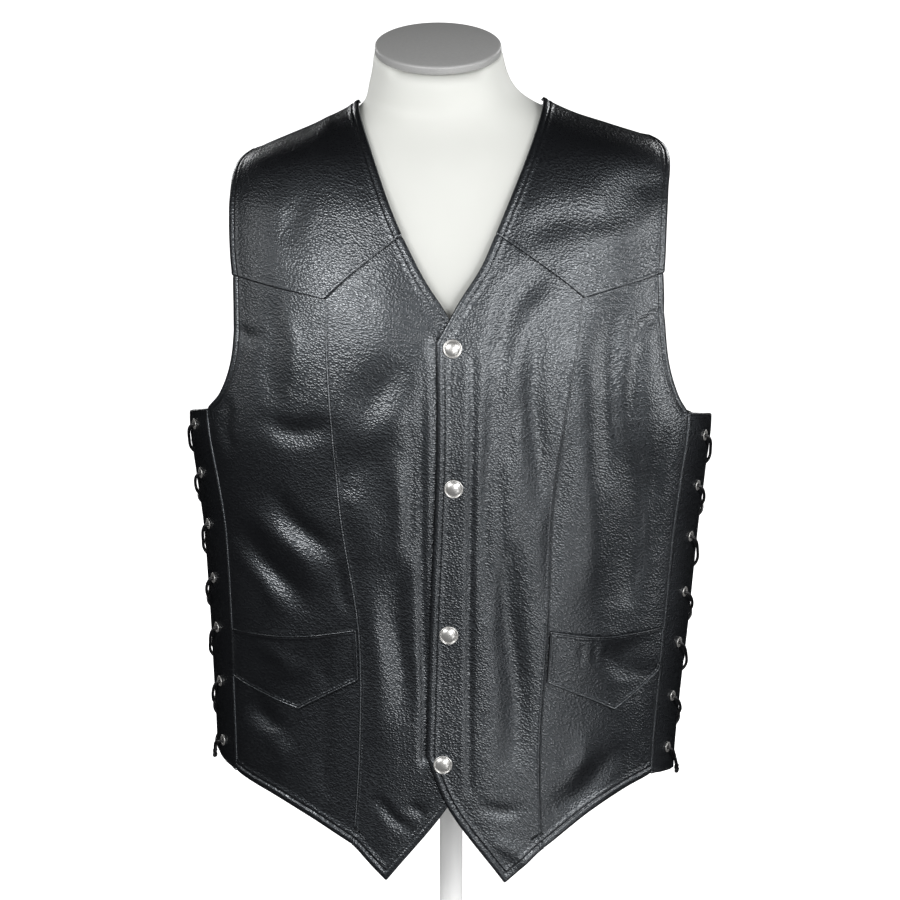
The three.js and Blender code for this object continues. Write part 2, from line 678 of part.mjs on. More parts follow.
// Both ends come out of the lowest eyelets and meet at the knot between the strips
function laceStops(cut) {
  const { level } = knotStop(cut);
  const outer = cut.edgeOfStrip + LACE_END.beyondEdge;
  const ends = [1, -1].map((facing) => ([
    { forward: facing * outer, level: level + LACE_END.aboveKnot, rise: LACE_OVER_EDGE },
    { forward: facing * LACE_END.besideKnot, level: level + LACE_END.lift, rise: KNOT.rise },
  ]));
  const down = strand(cut, 1);
  const up = strand(cut, -1).reverse();
  const middle = { forward: 0, level: cut.eyelets[0] - BACK_DROP / 2, rise: LACE_IN - 1 };
  return [...ends[1].reverse(), ...up, middle, ...down, ...ends[0]];
}

function lace(name, cut) {
  const points = laceStops(cut).map(({ forward, level, rise }) => skin(beside(cut.side, level, forward), rise));
  const radius = LACE.diameter / 2;
  const section = new THREE.Shape(even(LACE.sides - 1).map((_, i) => {
    const angle = 2 * Math.PI * i / LACE.sides;
    return new THREE.Vector2(radius * Math.cos(angle), radius * Math.sin(angle));
  }));
  const options = { steps: points.length - 1, bevelEnabled: false, extrudePath: new StepPath(points) };
  add(name, new THREE.ExtrudeGeometry(section, options), "lace");
}

function knot(name, cut) {
  const stop = knotStop(cut);
  const { waist } = KNOT;
  const shares = [[0, -1], [waist, -waist], [1, 0], [waist, waist], [0, 1]];
  const profile = shares.map(([r, h]) => new THREE.Vector2(r * KNOT.radius, h * KNOT.height / 2));
  const mesh = add(name, new THREE.LatheGeometry(profile, KNOT.segments), "lace");
  mesh.position.copy(skin(beside(cut.side, stop.level, stop.forward), stop.rise));
  mesh.rotation.x = Math.PI / 2;
}

function snapCap(name, x, z) {
  const { radius, height, rim } = SNAP;
  const profile = [
    [0, 0],
    [radius, 0],
    [radius, rim],
    [SNAP_SHOULDER.radius, SNAP_SHOULDER.height],
    [SNAP_CROWN_RADIUS, height],
    [0, height],
  ];
  const points = profile.map(([r, h]) => new THREE.Vector2(r, h));
  const mesh = add(name, new THREE.LatheGeometry(points, SNAP.segments), "nickel");
  standOn(mesh, front(x, z), LAP_RISE + SEAM_GAP);
}

function halfVest(word, cut) {
  const lines = edgeLines(cut);
  const sideRows = sideFrontRows(lines);
  const frontEyelets = cut.eyelets.map((level) => beside(cut.side, level, cut.eyelet));
  const backEyelets = cut.eyelets.map((level) => beside(cut.side, level - BACK_DROP, -cut.eyelet));
  yoke(`${word}_yoke`, lines);
  centreFront(`${word}_centre_front`, cut, lines);
  add(`${word}_side_front`, panelGeometry(sideRows, LEATHER, () => 0), "leather");
  pocket(`${word}_pocket`, lines, sideRows);
  const backSeam = backSeamPlaces(cut);
  strip(`${word}_front_strip`, cut, lines.stripRows, 1, frontEyelets);
  strip(`${word}_back_strip`, cut, backSeam, -1, backEyelets);
  frontEyelets.forEach((place, i) => eyelet(`${word}_front_eyelet_${i + 1}`, place));
  backEyelets.forEach((place, i) => eyelet(`${word}_back_eyelet_${i + 1}`, place));
  lace(`${word}_lace`, cut);
  knot(`${word}_lace_knot`, cut);
}

function backSeamPlaces(cut) {
  const places = cut.backSeam.map(([level, forward]) => beside(cut.side, level, forward));
  return along(places, even(BACK_STRIP_ROWS));
}

// One plain back, from the left strip's seam round to the right strip's seam
function back() {
  const sideLine = (cut) => {
    const armhole = BACK_ARMHOLE.map(([level, forward]) => beside(cut.side, level, forward));
    const seam = backSeamPlaces(cut);
    const places = [ridge(cut.side, SHOULDER_TIP), ...armhole.reverse(), seam[0]];
    return joined(along(places, fromShoulder(BACK_ARMHOLE_ROWS)), seam);
  };
  const left = sideLine(LEFT);
  const right = sideLine(RIGHT);
  const shoulder = even(SHOULDER_COLUMNS).map((share) => (
    ridge(1, THREE.MathUtils.lerp(SHOULDER_TIP, SHOULDER_NECK, share))
  ));
  const neckHalf = BACK_NECK.map(([angle, level]) => (
    new THREE.Vector2(THREE.MathUtils.degToRad(angle) * GIRTH, level)
  ));
  const mirror = (place) => new THREE.Vector2(-place.x, place.y);
  const neckPlaces = [...neckHalf, ...neckHalf.slice(0, -1).reverse().map(mirror)];
  const neck = along(neckPlaces, even(BACK_NECK_COLUMNS));
  const top = joined(shoulder, neck, shoulder.slice().reverse().map(mirror));
  const hemTurns = [left.at(-1).x, right.at(-1).x + 2 * Math.PI * GIRTH];
  const hem = even(top.length - 1).map((share) => (
    new THREE.Vector2(THREE.MathUtils.lerp(...hemTurns, share), left.at(-1).y)
  ));
  const rows = fill(top, hem, left, right);
  add("back", panelGeometry(rows, LEATHER, () => 0, SHOULDER_GAP / 2), "leather");
}

// A closed skin over rings of points, one above the other
function loftGeometry(rings) {
  const count = rings[0].length;
  const points = rings.flat();
  const faces = [];
  for (let i = 0; i < rings.length - 1; i += 1) {
    for (let j = 0; j < count; j += 1) {
      const next = (j + 1) % count;
      const [a, b] = [i * count + j, i * count + next];
      faces.push(a, b, b + count, a, b + count, a + count);
    }
  }
  const lid = (ring, base, turned) => {
    const centre = ring.reduce((sum, p) => sum.add(p), new THREE.Vector3()).divideScalar(count);
    const hub = points.push(centre) - 1;
    for (let j = 0; j < count; j += 1) {
      const next = (j + 1) % count;
      faces.push(...(turned ? [hub, base + next, base + j] : [hub, base + j, base + next]));
    }
  };
  lid(rings[0], 0, true);
  lid(rings.at(-1), (rings.length - 1) * count, false);
  return meshGeometry(points, faces);
}

// Points round a level, closer together at the sides, where it turns most
function roundRing(half, frontDepth, backDepth, pointAt) {
  return even(TORSO_SEGMENTS - 1).map((_, i) => {
    const share = 2 * Math.PI * i / TORSO_SEGMENTS;
    const turn = share + SIDE_CROWDING * Math.sin(2 * share);
    return pointAt(...onLevel(turn, half, frontDepth, backDepth));
  });
}

function torso() {
  const bodyRings = TORSO_LEVELS.map((level, i) => {
    const rounding = i === 0 ? TORSO_FOOT_ROUND : 0;
    const size = (column, ease) => (
      sizeAt(SECTIONS, column, level + SHOULDER_DROP) - sizeAt(EASE, ease, level) - rounding
    );
    const shift = sizeAt(SECTIONS, "shift", level);
    const atPoint = (x, y) => new THREE.Vector3(x + shift, y, level + shoulderLean(x, level));
    return roundRing(size("half", "side"), size("front", "front"), size("back", "back"), atPoint);
  });
  const neckRings = NECK.map((row) => (
    roundRing(row.half, row.front, row.back, (x, y) => {
      const slope = Math.tan(THREE.MathUtils.degToRad(row.tilt));
      const lean = shoulderLean(x, row.z) * (1 - row.tilt / NECK.at(-1).tilt);
      return new THREE.Vector3(x + row.shift, y, row.z + lean + y * slope);
    })
  ));
  add("torso", loftGeometry([...bodyRings, ...neckRings]), "cover");
}

function turned(name, profile, segments, material) {
  const points = profile.map(([radius, height]) => new THREE.Vector2(radius, height));
  const mesh = add(name, new THREE.LatheGeometry(points, segments), material);
  mesh.rotation.x = Math.PI / 2;
  return mesh;
}

function neckCap() {
  const { radius, height, edge, dome } = NECK_CAP;
  const profile = [
    [0, 0],
    [radius - edge, 0],
    [radius, edge],
    [radius, height - edge],
    [radius - edge, height],
    [NECK_CAP.bendRadius, height + NECK_CAP.bendHeight],
    [0, height + dome],
  ];
  const mesh = turned("neck_cap", profile, CAP_SEGMENTS, "steel");
  mesh.rotation.x = Math.PI / 2 + THREE.MathUtils.degToRad(NECK_CAP_SEAT.tilt);
  mesh.scale.z = NECK_CAP.depth;
  mesh.position.set(NECK_CAP_SEAT.x, NECK_CAP_SEAT.y, NECK_CAP_SEAT.z);
}

function stand() {
  const rod = [[0, POLE.bottom], [POLE.radius, POLE.bottom], [POLE.radius, POLE.top], [0, POLE.top]];
  turned("pole", rod, POLE_SEGMENTS, "stand");
  const socket = [
    [0, POLE.top + SEAM_GAP],
    [COLLAR.bore, POLE.top + SEAM_GAP],
    [COLLAR.bore, COLLAR.bottom],
    [COLLAR.neck, COLLAR.bottom],
    [COLLAR.neck, COLLAR.top - COLLAR.taper],
    [COLLAR.radius, COLLAR.top - COLLAR.plate],
    [COLLAR.radius, COLLAR.top],
    [0, COLLAR.top],
  ];
  turned("collar", socket, COLLAR_SEGMENTS, "stand");
  const { radius, height, edge, boss, bossTop } = FOOT;
  const plate = [
    [0, 0],
    [radius - edge, 0],
    [radius, edge],
    [radius, height - edge],
    [radius - edge, height],
    [boss + edge, height + FOOT.rise],
    [boss, bossTop],
    [0, bossTop],
  ];
  turned("foot", plate, FOOT_SEGMENTS, "stand");
}

halfVest("left", LEFT);
halfVest("right", RIGHT);
back();
SNAPS.forEach(([x, z], i) => snapCap(`snap_${i + 1}`, x, z));
torso();
neckCap();
stand();

export default group;
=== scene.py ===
# %% [markdown]
# A black leather western vest on a limbless dress form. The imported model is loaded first, as a
# fixed frame that every new piece is fitted to, in metres. Sizes in this file are written in
# millimetres, as a vest maker writes them, and turned into metres where a mesh is made.

import math

import bmesh
import bpy
import numpy as np
from mathutils import Matrix, Vector


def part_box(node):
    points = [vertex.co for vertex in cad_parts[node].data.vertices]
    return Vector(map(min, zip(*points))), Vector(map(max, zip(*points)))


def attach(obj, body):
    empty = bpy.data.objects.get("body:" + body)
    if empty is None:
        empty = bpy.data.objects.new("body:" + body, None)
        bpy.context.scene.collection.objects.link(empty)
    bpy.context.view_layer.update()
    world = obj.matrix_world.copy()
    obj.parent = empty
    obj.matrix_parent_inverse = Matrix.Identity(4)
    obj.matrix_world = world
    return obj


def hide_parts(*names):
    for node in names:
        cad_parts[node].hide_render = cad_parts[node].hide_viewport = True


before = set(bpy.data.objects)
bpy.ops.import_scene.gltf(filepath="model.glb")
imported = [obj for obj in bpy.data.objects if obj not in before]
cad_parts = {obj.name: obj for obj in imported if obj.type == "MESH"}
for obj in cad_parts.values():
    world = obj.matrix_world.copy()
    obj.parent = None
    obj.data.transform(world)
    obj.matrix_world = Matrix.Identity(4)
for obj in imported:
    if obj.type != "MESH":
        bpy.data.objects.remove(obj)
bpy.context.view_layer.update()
BODY = "root"
MM = 0.001

# %% [markdown]
# The camera comes first, because everything later is judged through it. The photograph was taken
# from a few metres away and a little above the vest, which a long lens repeats.

# %% Camera
VIEW_WIDTH = 756
CAMERA_DISTANCE = 3400
CAMERA_RISE = math.radians(10)
AIM = Vector((-1, -60, 476.3))


def placed(name, data):
    """A new object in the scene with this data."""
    made = bpy.data.objects.new(name, data)
    bpy.context.collection.objects.link(made)
    return made


def add_camera():
    data = bpy.data.cameras.new("camera")
    camera = placed("camera", data)
    data.angle = 2 * math.atan(VIEW_WIDTH / 2 / CAMERA_DISTANCE)
    away = Vector((0, -math.cos(CAMERA_RISE), math.sin(CAMERA_RISE)))
    camera.location = (AIM + away * CAMERA_DISTANCE) * MM
    camera.rotation_euler = (-away).to_track_quat("-Z", "Y").to_euler()
    data.clip_end = 100
    bpy.context.scene.camera = camera
    return camera


camera = add_camera()
print("camera at", tuple(camera.location))

# %% [markdown]
# A worn vest is a tube of leather round a body. Its outline is a rounded cross section at each
# level, so one short table holds the whole shape: half the width, and the depth to the front and
# the back. Panels are then drawn on that surface, and folds push it in or out.

# %% The vest's outline
ROUNDNESS = 2.1
GIRTH = 180
CHEST = 600
CHEST_MARGIN = 4
HALVINGS = 32
NORMAL_STEP = 0.5
SECTION_COLUMNS = ("z", "half", "front", "back", "shift")
SECTION_ROWS = [
    (100, 195, 106, 100, -4),
    (211, 197.5, 108, 101, -4),
    (304, 204, 111, 98, -1.5),
    (400, 211, 118, 100, 0),
    (450, 217, 122, 104, 0),
    (500, 222, 125, 107, 0),
    (556, 214, 126, 110, 0),
    (600, 208, 121, 108, 0),
    (640, 205, 112, 102, 0),
    (680, 200, 99, 92, 0),
    (700, 194, 90, 85, 0),
    (716, 185, 81, 78, 0),
    (725, 174, 75, 72, 0),
    (732, 157, 70, 68, 0),
    (741, 132, 63.5, 63, 0),
    (751, 105, 57, 57, 0),
    (765, 76.5, 50, 51, 0),
]
SECTIONS = dict(zip(SECTION_COLUMNS, np.array(SECTION_ROWS, float).T))
LEAN_HEIGHT = 6.4
LEAN_AT = 178
LEAN_LEVELS = (640, 720)


def smoothstep(value, low, high):
    share = np.clip((np.asarray(value, float) - low) / (high - low), 0, 1)
    return share * share * (3 - 2 * share)


def size_at(column, level):
    """Smooth value of one column of the section table at each level."""
    z = SECTIONS["z"]
    values = SECTIONS[column]
    level = np.asarray(level, float)
    k = np.clip(np.searchsorted(z, level) - 1, 0, len(z) - 2)
    below = np.maximum(np.arange(len(z)) - 1, 0)
    above = np.minimum(np.arange(len(z)) + 1, len(z) - 1)
    slopes = (values[above] - values[below]) / (z[above] - z[below])
    span = z[k + 1] - z[k]
    t = np.clip((level - z[k]) / span, 0, 1)
    chord = (values[k + 1] - values[k]) / span
    straight = values[k] + (values[k + 1] - values[k]) * t
    return straight + t * (1 - t) * span * ((1 - t) * (slopes[k] - chord) - t * (slopes[k + 1] - chord))


def shoulder_lean(x, level):
    share = x / LEAN_AT
    return LEAN_HEIGHT * share * np.abs(share) * smoothstep(level, *LEAN_LEVELS)


def body_point(place):
    """Points of the body from places: the turn round a circle of GIRTH, and the level."""
    turn = place[..., 0] / GIRTH
    level = place[..., 1]
    depth = np.where(np.cos(turn) > 0, size_at("front", level), size_at("back", level))
    across = np.abs(np.sin(turn)) / size_at("half", level)
    inward = np.abs(np.cos(turn)) / depth
    radius = (across**ROUNDNESS + inward**ROUNDNESS) ** (-1 / ROUNDNESS)
    x = radius * np.sin(turn)
    y = -radius * np.cos(turn)
    return np.stack([x + size_at("shift", level), y, level + shoulder_lean(x, level)], axis=-1)


def body_normal(place):
    step_turn = np.array([NORMAL_STEP, 0])
    step_level = np.array([0, NORMAL_STEP])
    right = body_point(place + step_turn) - body_point(place - step_turn)
    up = body_point(place + step_level) - body_point(place - step_level)
    normal = np.cross(right, up)
    return normal / np.linalg.norm(normal, axis=-1, keepdims=True)


def place_under(point):
    """The place below a point near the body, level by level up to the chest and then
    towards one point on the upright axis."""
    shifted = np.where(point[..., 2] <= CHEST, point[..., 0] - size_at("shift", point[..., 2]), point[..., 0])
    turn = np.arctan2(shifted, -point[..., 1])
    steepness = (point[..., 2] - CHEST) / np.hypot(point[..., 0], point[..., 1])
    low = np.full(turn.shape, float(CHEST))
    high = np.full(turn.shape, SECTIONS["z"][-1] + CHEST_MARGIN)
    for _ in range(HALVINGS):
        middle = (low + high) / 2
        there = body_point(np.stack([turn * GIRTH, middle], axis=-1))
        above = (there[..., 2] - CHEST) / np.hypot(there[..., 0], there[..., 1]) < steepness
        low = np.where(above, middle, low)
        high = np.where(above, high, middle)
    level = np.where(point[..., 2] <= CHEST, point[..., 2], low)
    return np.stack([turn * GIRTH, level], axis=-1)


def front(x, z):
    """A place from x and z as seen from straight ahead."""
    level = z - shoulder_lean(x, z)
    aside = x - size_at("shift", level)
    share = np.minimum(np.abs(aside) / size_at("half", level), 1)
    depth = size_at("front", level) * (1 - share**ROUNDNESS) ** (1 / ROUNDNESS)
    return np.array([np.arctan2(aside, depth) * GIRTH, level])


def beside(side, level, forward):
    """A place beside an arm, from how far it lies forward of the middle of the side."""
    depth = size_at("front", level) if forward > 0 else size_at("back", level)
    share = min(abs(forward) / depth, 1)
    x = size_at("half", level) * (1 - share**ROUNDNESS) ** (1 / ROUNDNESS)
    return np.array([side * math.atan2(x, forward) * GIRTH, level])


print("chest", round(2 * float(size_at("half", 500))), "mm wide")

# %% [markdown]
# Leather keeps soft, shallow folds where it hangs and bends. Each row below is one of them as
# a maker sees it from straight ahead: a trough, or a ridge where its depth is negative, that runs
# from one point to the other. The first table holds the large folds, the second the smaller
# creases, and the third the step at the inner edge of the front's turning, which shows through
# beside the snaps. The back has its own tables. Their sizes are set against the photograph.

# %% Folds and creases
FOLDS = [
    # x1, z1, x2, z2, width, depth
    (74, 634, 34, 572, 13, 2.6),
    (41, 575, 37, 400, 8, 2.2),
    (49, 392, 52, 225, 12, 4),
    (70, 590, 72, 440, 10, 3),
    (138, 600, 126, 465, 11, 3.4),
    (108, 585, 104, 505, 15, -2.2),
    (152, 505, 150, 345, 19, 5.5),
    (118, 500, 112, 372, 13, -2.4),
    (148, 318, 146, 282, 16, 2.6),
    (90, 176, 140, 214, 11, 2.8),
    (-40, 560, -100, 452, 17, 3.2),
    (-152, 503, -104, 500, 10, 2.6),
    (-146, 441, -104, 396, 9, 2.8),
    (-160, 428, -114, 374, 10, -2.2),
    (-170, 404, -128, 352, 10, 3.4),
    (-44, 376, -40, 268, 13, 3.2),
    (-95, 514, -36, 500, 24, -2.8),
    (-141, 316, -141, 284, 14, -2),
    (-164, 268, -152, 236, 10, 2.8),
]
CREASES = [
    # x1, z1, x2, z2, width, depth
    (31, 575, 30, 345, 5, 1.5),
    (50, 526, 49, 476, 5, 1.2),
    (93, 491, 82, 355, 7, 1.8),
    (157, 576, 154, 500, 7, 1.8),
    (178, 492, 174, 440, 5, 1.4),
    (156, 388, 155, 344, 7, 1.2),
    (176, 598, 148, 573, 6, 1.7),
    (181, 706, 128, 682, 14, 1.8),
    (126, 681, 62, 664, 13, 1.5),
    (168, 672, 116, 655, 10, -1.2),
    (107, 318, 109, 303, 3, 0.7),
    (118, 319, 121, 301, 3, 0.8),
    (129, 317, 131, 304, 3, 0.6),
    (26, 176, 58, 177, 6, 1.5),
    (36, 152, 70, 122, 7, -1.3),
    (116, 236, 104, 205, 8, -1.4),
    (165, 440, 166, 400, 4, -1),
    (-97, 752, -121, 728, 8, -1.2),
    (-130, 691, -129, 650, 10, 1.4),
    (-150, 600, -146, 520, 9, 1.4),
    (-134, 596, -130, 548, 7, -1.1),
    (-178, 577, -160, 576, 6, 1.2),
    (-188, 518, -186, 480, 5, 1.3),
    (-173, 392, -144, 343, 8, -1.4),
    (-95, 387, -87, 349, 5, 1.4),
    (-76, 452, -76, 390, 14, -1.6),
    (-45, 480, -44, 398, 7, -1.3),
    (-32, 500, -32, 396, 5, 1.4),
    (-63, 367, -63, 244, 10, -1.6),
    (-27, 312, -25, 218, 5, -1),
    (-107, 321, -106, 284, 7, 1.4),
    (-147, 240, -146, 204, 9, -1.5),
    (-106, 266, -106, 190, 7, 1.3),
    (-63, 183, -36, 160, 5, 1.4),
    (-36, 177, -20, 176, 5, 1),
    (-22, 560, -23, 215, 4.5, 2.2),
]
PLACKET = [
    # x1, z1, x2, z2, width, depth
    (17.2, 562, 14.6, 196, 3.4, 1.7),
    (13, 562, 10.4, 196, 2.4, -0.6),
]
BACK_FOLDS = [
    # x1, z1, x2, z2, width, depth
    (96, 640, 40, 560, 16, 3),
    (-88, 632, -46, 540, 17, 3.4),
    (128, 520, 118, 330, 18, 4.4),
    (-130, 490, -112, 300, 18, 4.6),
    (60, 420, 74, 240, 20, 3.6),
    (-36, 440, -52, 230, 22, 3.8),
    (14, 520, 6, 300, 20, -2.4),
]
BACK_CREASES = [
    # x1, z1, x2, z2, width, depth
    (150, 600, 112, 566, 8, 1.8),
    (-158, 596, -120, 574, 8, 1.6),
    (168, 470, 150, 330, 9, 1.8),
    (-170, 455, -158, 350, 8, 1.6),
    (94, 540, 88, 410, 9, 1.3),
    (-78, 500, -84, 380, 10, 1.4),
    (34, 300, 42, 210, 7, 1.5),
    (-96, 290, -104, 210, 9, 1.7),
    (-14, 640, 10, 596, 9, -1.1),
    (120, 290, 140, 222, 9, 1.4),
]
FOLD_CLEAR = (22, 44)
CREASE_CLEAR = (18, 24)
FOLD_WANDER = 0.3
WANDER_TURN = 5
FOLD_END = 0.35
FOLD_BELLY = 0.7
WAVE_LEAN = 0.6
WAVES = [
    # length across, length down, phase, height
    (61, 83, 0.4, 0.34),
    (37, 46, 1.9, 0.2),
    (26, -39, 3.1, 0.13),
    (-19, 23, 5.2, 0.08),
]


def fold_sum(table, x, z):
    total = np.zeros(x.shape)
    for x1, z1, x2, z2, width, depth in table:
        length = math.hypot(x2 - x1, z2 - z1)
        run_x = (x2 - x1) / length
        run_z = (z2 - z1) / length
        down = (x - x1) * run_x + (z - z1) * run_z
        off = ((x - x1) * run_z - (z - z1) * run_x) / width
        past = np.maximum(np.maximum(-down, down - length), 0) / width
        along = np.clip(down / length, 0, 1)
        off = off + FOLD_WANDER * np.sin(along * WANDER_TURN + depth)
        fullness = FOLD_END + (1 - FOLD_END) * np.sin(along * math.pi) ** FOLD_BELLY
        total += depth * fullness * np.exp(-off * off - past * past)
    return total


def fold_depth(point):
    x = point[..., 0]
    z = point[..., 2]
    ahead = point[..., 1] < 0
    large = fold_sum(FOLDS, x, z) * smoothstep(np.abs(x), *FOLD_CLEAR)
    small = fold_sum(CREASES, x, z) * smoothstep(np.abs(x), *CREASE_CLEAR)
    small += fold_sum(PLACKET, x, z)
    behind = fold_sum(BACK_FOLDS, x, z) + fold_sum(BACK_CREASES, x, z)
    return np.where(ahead, large + small, behind) + unevenness(point)


def unevenness(point):
    """Leather is never quite flat: a few low waves of unlike lengths, each side with its own."""
    total = np.zeros(point.shape[:-1])
    for across, down, phase, height in WAVES:
        around = point[..., 0] + WAVE_LEAN * point[..., 1]
        total += height * np.sin(around / across * 2 + phase) * np.cos(point[..., 2] / down * 2 + 2 * phase)
    return total


def skin(place, rise):
    """Points that stand off the leather's face by their rise."""
    point = body_point(place)
    return point + body_normal(place) * np.asarray(rise - fold_depth(point))[..., None]


print(len(FOLDS) + len(BACK_FOLDS), "folds,", len(CREASES) + len(BACK_CREASES), "creases")

# %% [markdown]
# A vest front is cut in a centre front, a side front and a yoke, and each cut line is a smooth
# line through a few chosen points. The two fronts aren't quite alike, because the wearer's left
# front laps over the right one and a worn vest never hangs evenly.

# %% The cut of each half
SHOULDER_NECK = 765
SHOULDER_TIP = 727
LEFT = {
    "side": 1,
    "yoke_neck": [(62, 724), (48, 691), (36, 663)],
    "neck": [(36, 663), (24, 637), (7, 611), (-12, 577)],
    "edge": [(-12, 577), (-12, 488), (-18, 325), (-21, 223)],
    "point": [(-21, 223), (-3, 179), (45, 112)],
    "hem_front": [(45, 112), (78, 141)],
    "hem_side": [(78, 141), (117, 170), (148, 187)],
    "yoke_front": [(36, 663), (109, 610)],
    "yoke_side": [(109, 610), (177, 626)],
    "seam": [(109, 610), (98, 528), (87, 444), (82, 332), (76, 219), (78, 141)],
    "armhole_yoke": [(177, 626), (181, 692)],
    "armhole": [(177, 626), (181, 556), (190, 524)],
    "pocket_top": (125, 324),
    "pocket_point": (137, 257),
    "strip_seam": [(510, 60), (433, 60), (325, 57), (287, 56), (195, 54)],
    "back_seam": [(497, -58), (400, -58), (300, -56), (187, -54)],
    "eyelet": 36,
    "strip_edge": 16,
    "hem_at_edge": 190,
    "back_hem_at_edge": 182,
    "eyelets": [485, 442, 398, 350, 306, 259, 214],
}
RIGHT = {
    "side": -1,
    "yoke_neck": [(-66, 729), (-50, 685), (-40, 662)],
    "neck": [(-40, 662), (-22, 628), (-4, 601), (12, 572)],
    "edge": [(12, 572), (16, 500), (18, 325), (19, 222)],
    "point": [(19, 222), (-3, 179), (-55, 114)],
    "hem_front": [(-55, 114), (-84, 145)],
    "hem_side": [(-84, 145), (-119, 166), (-150, 182)],
    "yoke_front": [(-40, 662), (-104, 609)],
    "yoke_side": [(-104, 609), (-182, 623)],
    "seam": [(-104, 609), (-102, 528), (-93, 425), (-79, 332), (-79, 219), (-84, 145)],
    "armhole_yoke": [(-182, 623), (-184, 693)],
    "armhole": [(-182, 623), (-183, 560), (-193, 527)],
    "pocket_top": (-127, 325),
    "pocket_point": (-128, 259),
    "strip_seam": [(512, 52), (433, 57), (322, 53), (280, 51), (196, 49)],
    "back_seam": [(500, -53), (400, -55), (300, -52), (187, -50)],
    "eyelet": 32,
    "strip_edge": 12,
    "hem_at_edge": 207,
    "back_hem_at_edge": 196,
    "eyelets": [494, 452, 408, 361, 318, 271, 219],
}
HALVES = {"left": LEFT, "right": RIGHT}
STRIP_TOP_SLANT = 9
BACK_NECK = [(90, 765), (112, 757), (145, 752.5), (180, 751)]
BACK_ARMHOLE = [(509, -68), (556, -78), (620, -70), (670, -50), (700, -27)]
BACK_DROP = 12
SHOULDER_EASE = 1.6
LINE_SAMPLES = 60


def smooth_line(points):
    """A smooth line through 3-D points, as a function of the share of its length."""
    points = np.array(points, float)
    ends = [2 * points[0] - points[1], *points, 2 * points[-1] - points[-2]]
    samples = []
    for p0, p1, p2, p3 in zip(ends, ends[1:], ends[2:], ends[3:]):
        d0, d1, d2 = (max(np.linalg.norm(b - a), 1e-6) ** 0.5 for a, b in ((p0, p1), (p1, p2), (p2, p3)))
        m1 = ((p1 - p0) / d0 - (p2 - p0) / (d0 + d1) + (p2 - p1) / d1) * d1
        m2 = ((p2 - p1) / d1 - (p3 - p1) / (d1 + d2) + (p3 - p2) / d2) * d1
        t = np.linspace(0, 1, LINE_SAMPLES, endpoint=False)[:, None]
        samples.append(
            (2 * t**3 - 3 * t**2 + 1) * p1 + (t**3 - 2 * t**2 + t) * m1
            + (3 * t**2 - 2 * t**3) * p2 + (t**3 - t**2) * m2
        )
    dense = np.vstack([*samples, points[-1:]])
    run = np.concatenate([[0], np.cumsum(np.linalg.norm(np.diff(dense, axis=0), axis=1))])
    return lambda share: np.stack([np.interp(share, run / run[-1], dense[:, i]) for i in range(3)], axis=-1)


def line_of(places):
    """A smooth line over the body through places."""
    through = smooth_line([body_point(place) for place in places])
    return lambda share: body_point(place_under(through(np.asarray(share, float))))


def chain(*parts):
    """One line from several, each with the row or column at which it ends, from 0 at the start."""

    def at(row):
        row = np.asarray(row, float)
        points = np.zeros((*row.shape, 3))
        start = 0
        for end, line in parts:
            inside = (row >= start) if start == 0 else (row > start)
            inside &= row <= end + 1e-9
            points[inside] = line((row[inside] - start) / (end - start))
            start = end
        return points

    return at


print("cut lines ready for", ", ".join(HALVES))

# %% [markdown]
# Each side is laced with one round leather cord. It comes out of an eyelet, goes down over its
# strip's edge, crosses the gap, and passes under the other strip to that strip's next eyelet.
# Both ends meet in a small knot at the hem. The route is a list of stops on the vest's own
# surface, so it stays in the eyelets wherever they sit.

# %% Laces
LACE_DIAMETER = 2.6
LACE_IN = -5.4
LACE_OUT = 4.2
LACE_OVER_EDGE = 3
LACE_UNDER_EDGE = -4.4
LACE_CROSSING = 1.9
LACE_SLANT = 0.9
KNOT_RISE = 3.2
KNOT_ABOVE_HEM = 4
END_BEYOND_EDGE = 2
END_ABOVE_KNOT = 12
END_BESIDE_KNOT = 4.7
END_LIFT = 1.5
LACE_SPACING = 1.6
LACE_SMOOTHNESS = 3
WELD = 0.01


def strand(cut, first_facing):
    """Stops of one end's way down: forward of the side's middle, level and rise."""
    stops = []
    eyelets = cut["eyelets"]
    for row, front_level in enumerate(eyelets):
        facing = first_facing if row % 2 == 0 else -first_facing
        level = front_level - (0 if facing > 0 else BACK_DROP)
        stops.append((facing * cut["eyelet"], level + LACE_SLANT, LACE_IN))
        stops.append((facing * cut["eyelet"], level - LACE_SLANT, LACE_OUT))
        if row == len(eyelets) - 1:
            break
        following = eyelets[row + 1] - (BACK_DROP if facing > 0 else 0)
        share = (cut["eyelet"] - cut["strip_edge"]) / (2 * cut["eyelet"])
        drop = level - following
        stops.append((facing * (cut["strip_edge"] + 1), level - drop * share, LACE_OVER_EDGE))
        stops.append((0, level - drop / 2, first_facing * LACE_CROSSING))
        stops.append((-facing * cut["strip_edge"], following + drop * share, LACE_UNDER_EDGE))
    return stops


def lace_stops(cut):
    knot_level = cut["back_hem_at_edge"] + KNOT_ABOVE_HEM
    ends = [
        [
            (facing * (cut["strip_edge"] + END_BEYOND_EDGE), knot_level + END_ABOVE_KNOT, LACE_OVER_EDGE),
            (facing * END_BESIDE_KNOT, knot_level + END_LIFT, KNOT_RISE),
        ]
        for facing in (1, -1)
    ]
    middle = (0, cut["eyelets"][0] - BACK_DROP / 2, LACE_IN - 1)
    return [*ends[1][::-1], *strand(cut, -1)[::-1], middle, *strand(cut, 1), *ends[0]]


def select_only(piece):
    bpy.ops.object.select_all(action="DESELECT")
    piece.select_set(True)
    bpy.context.view_layer.objects.active = piece


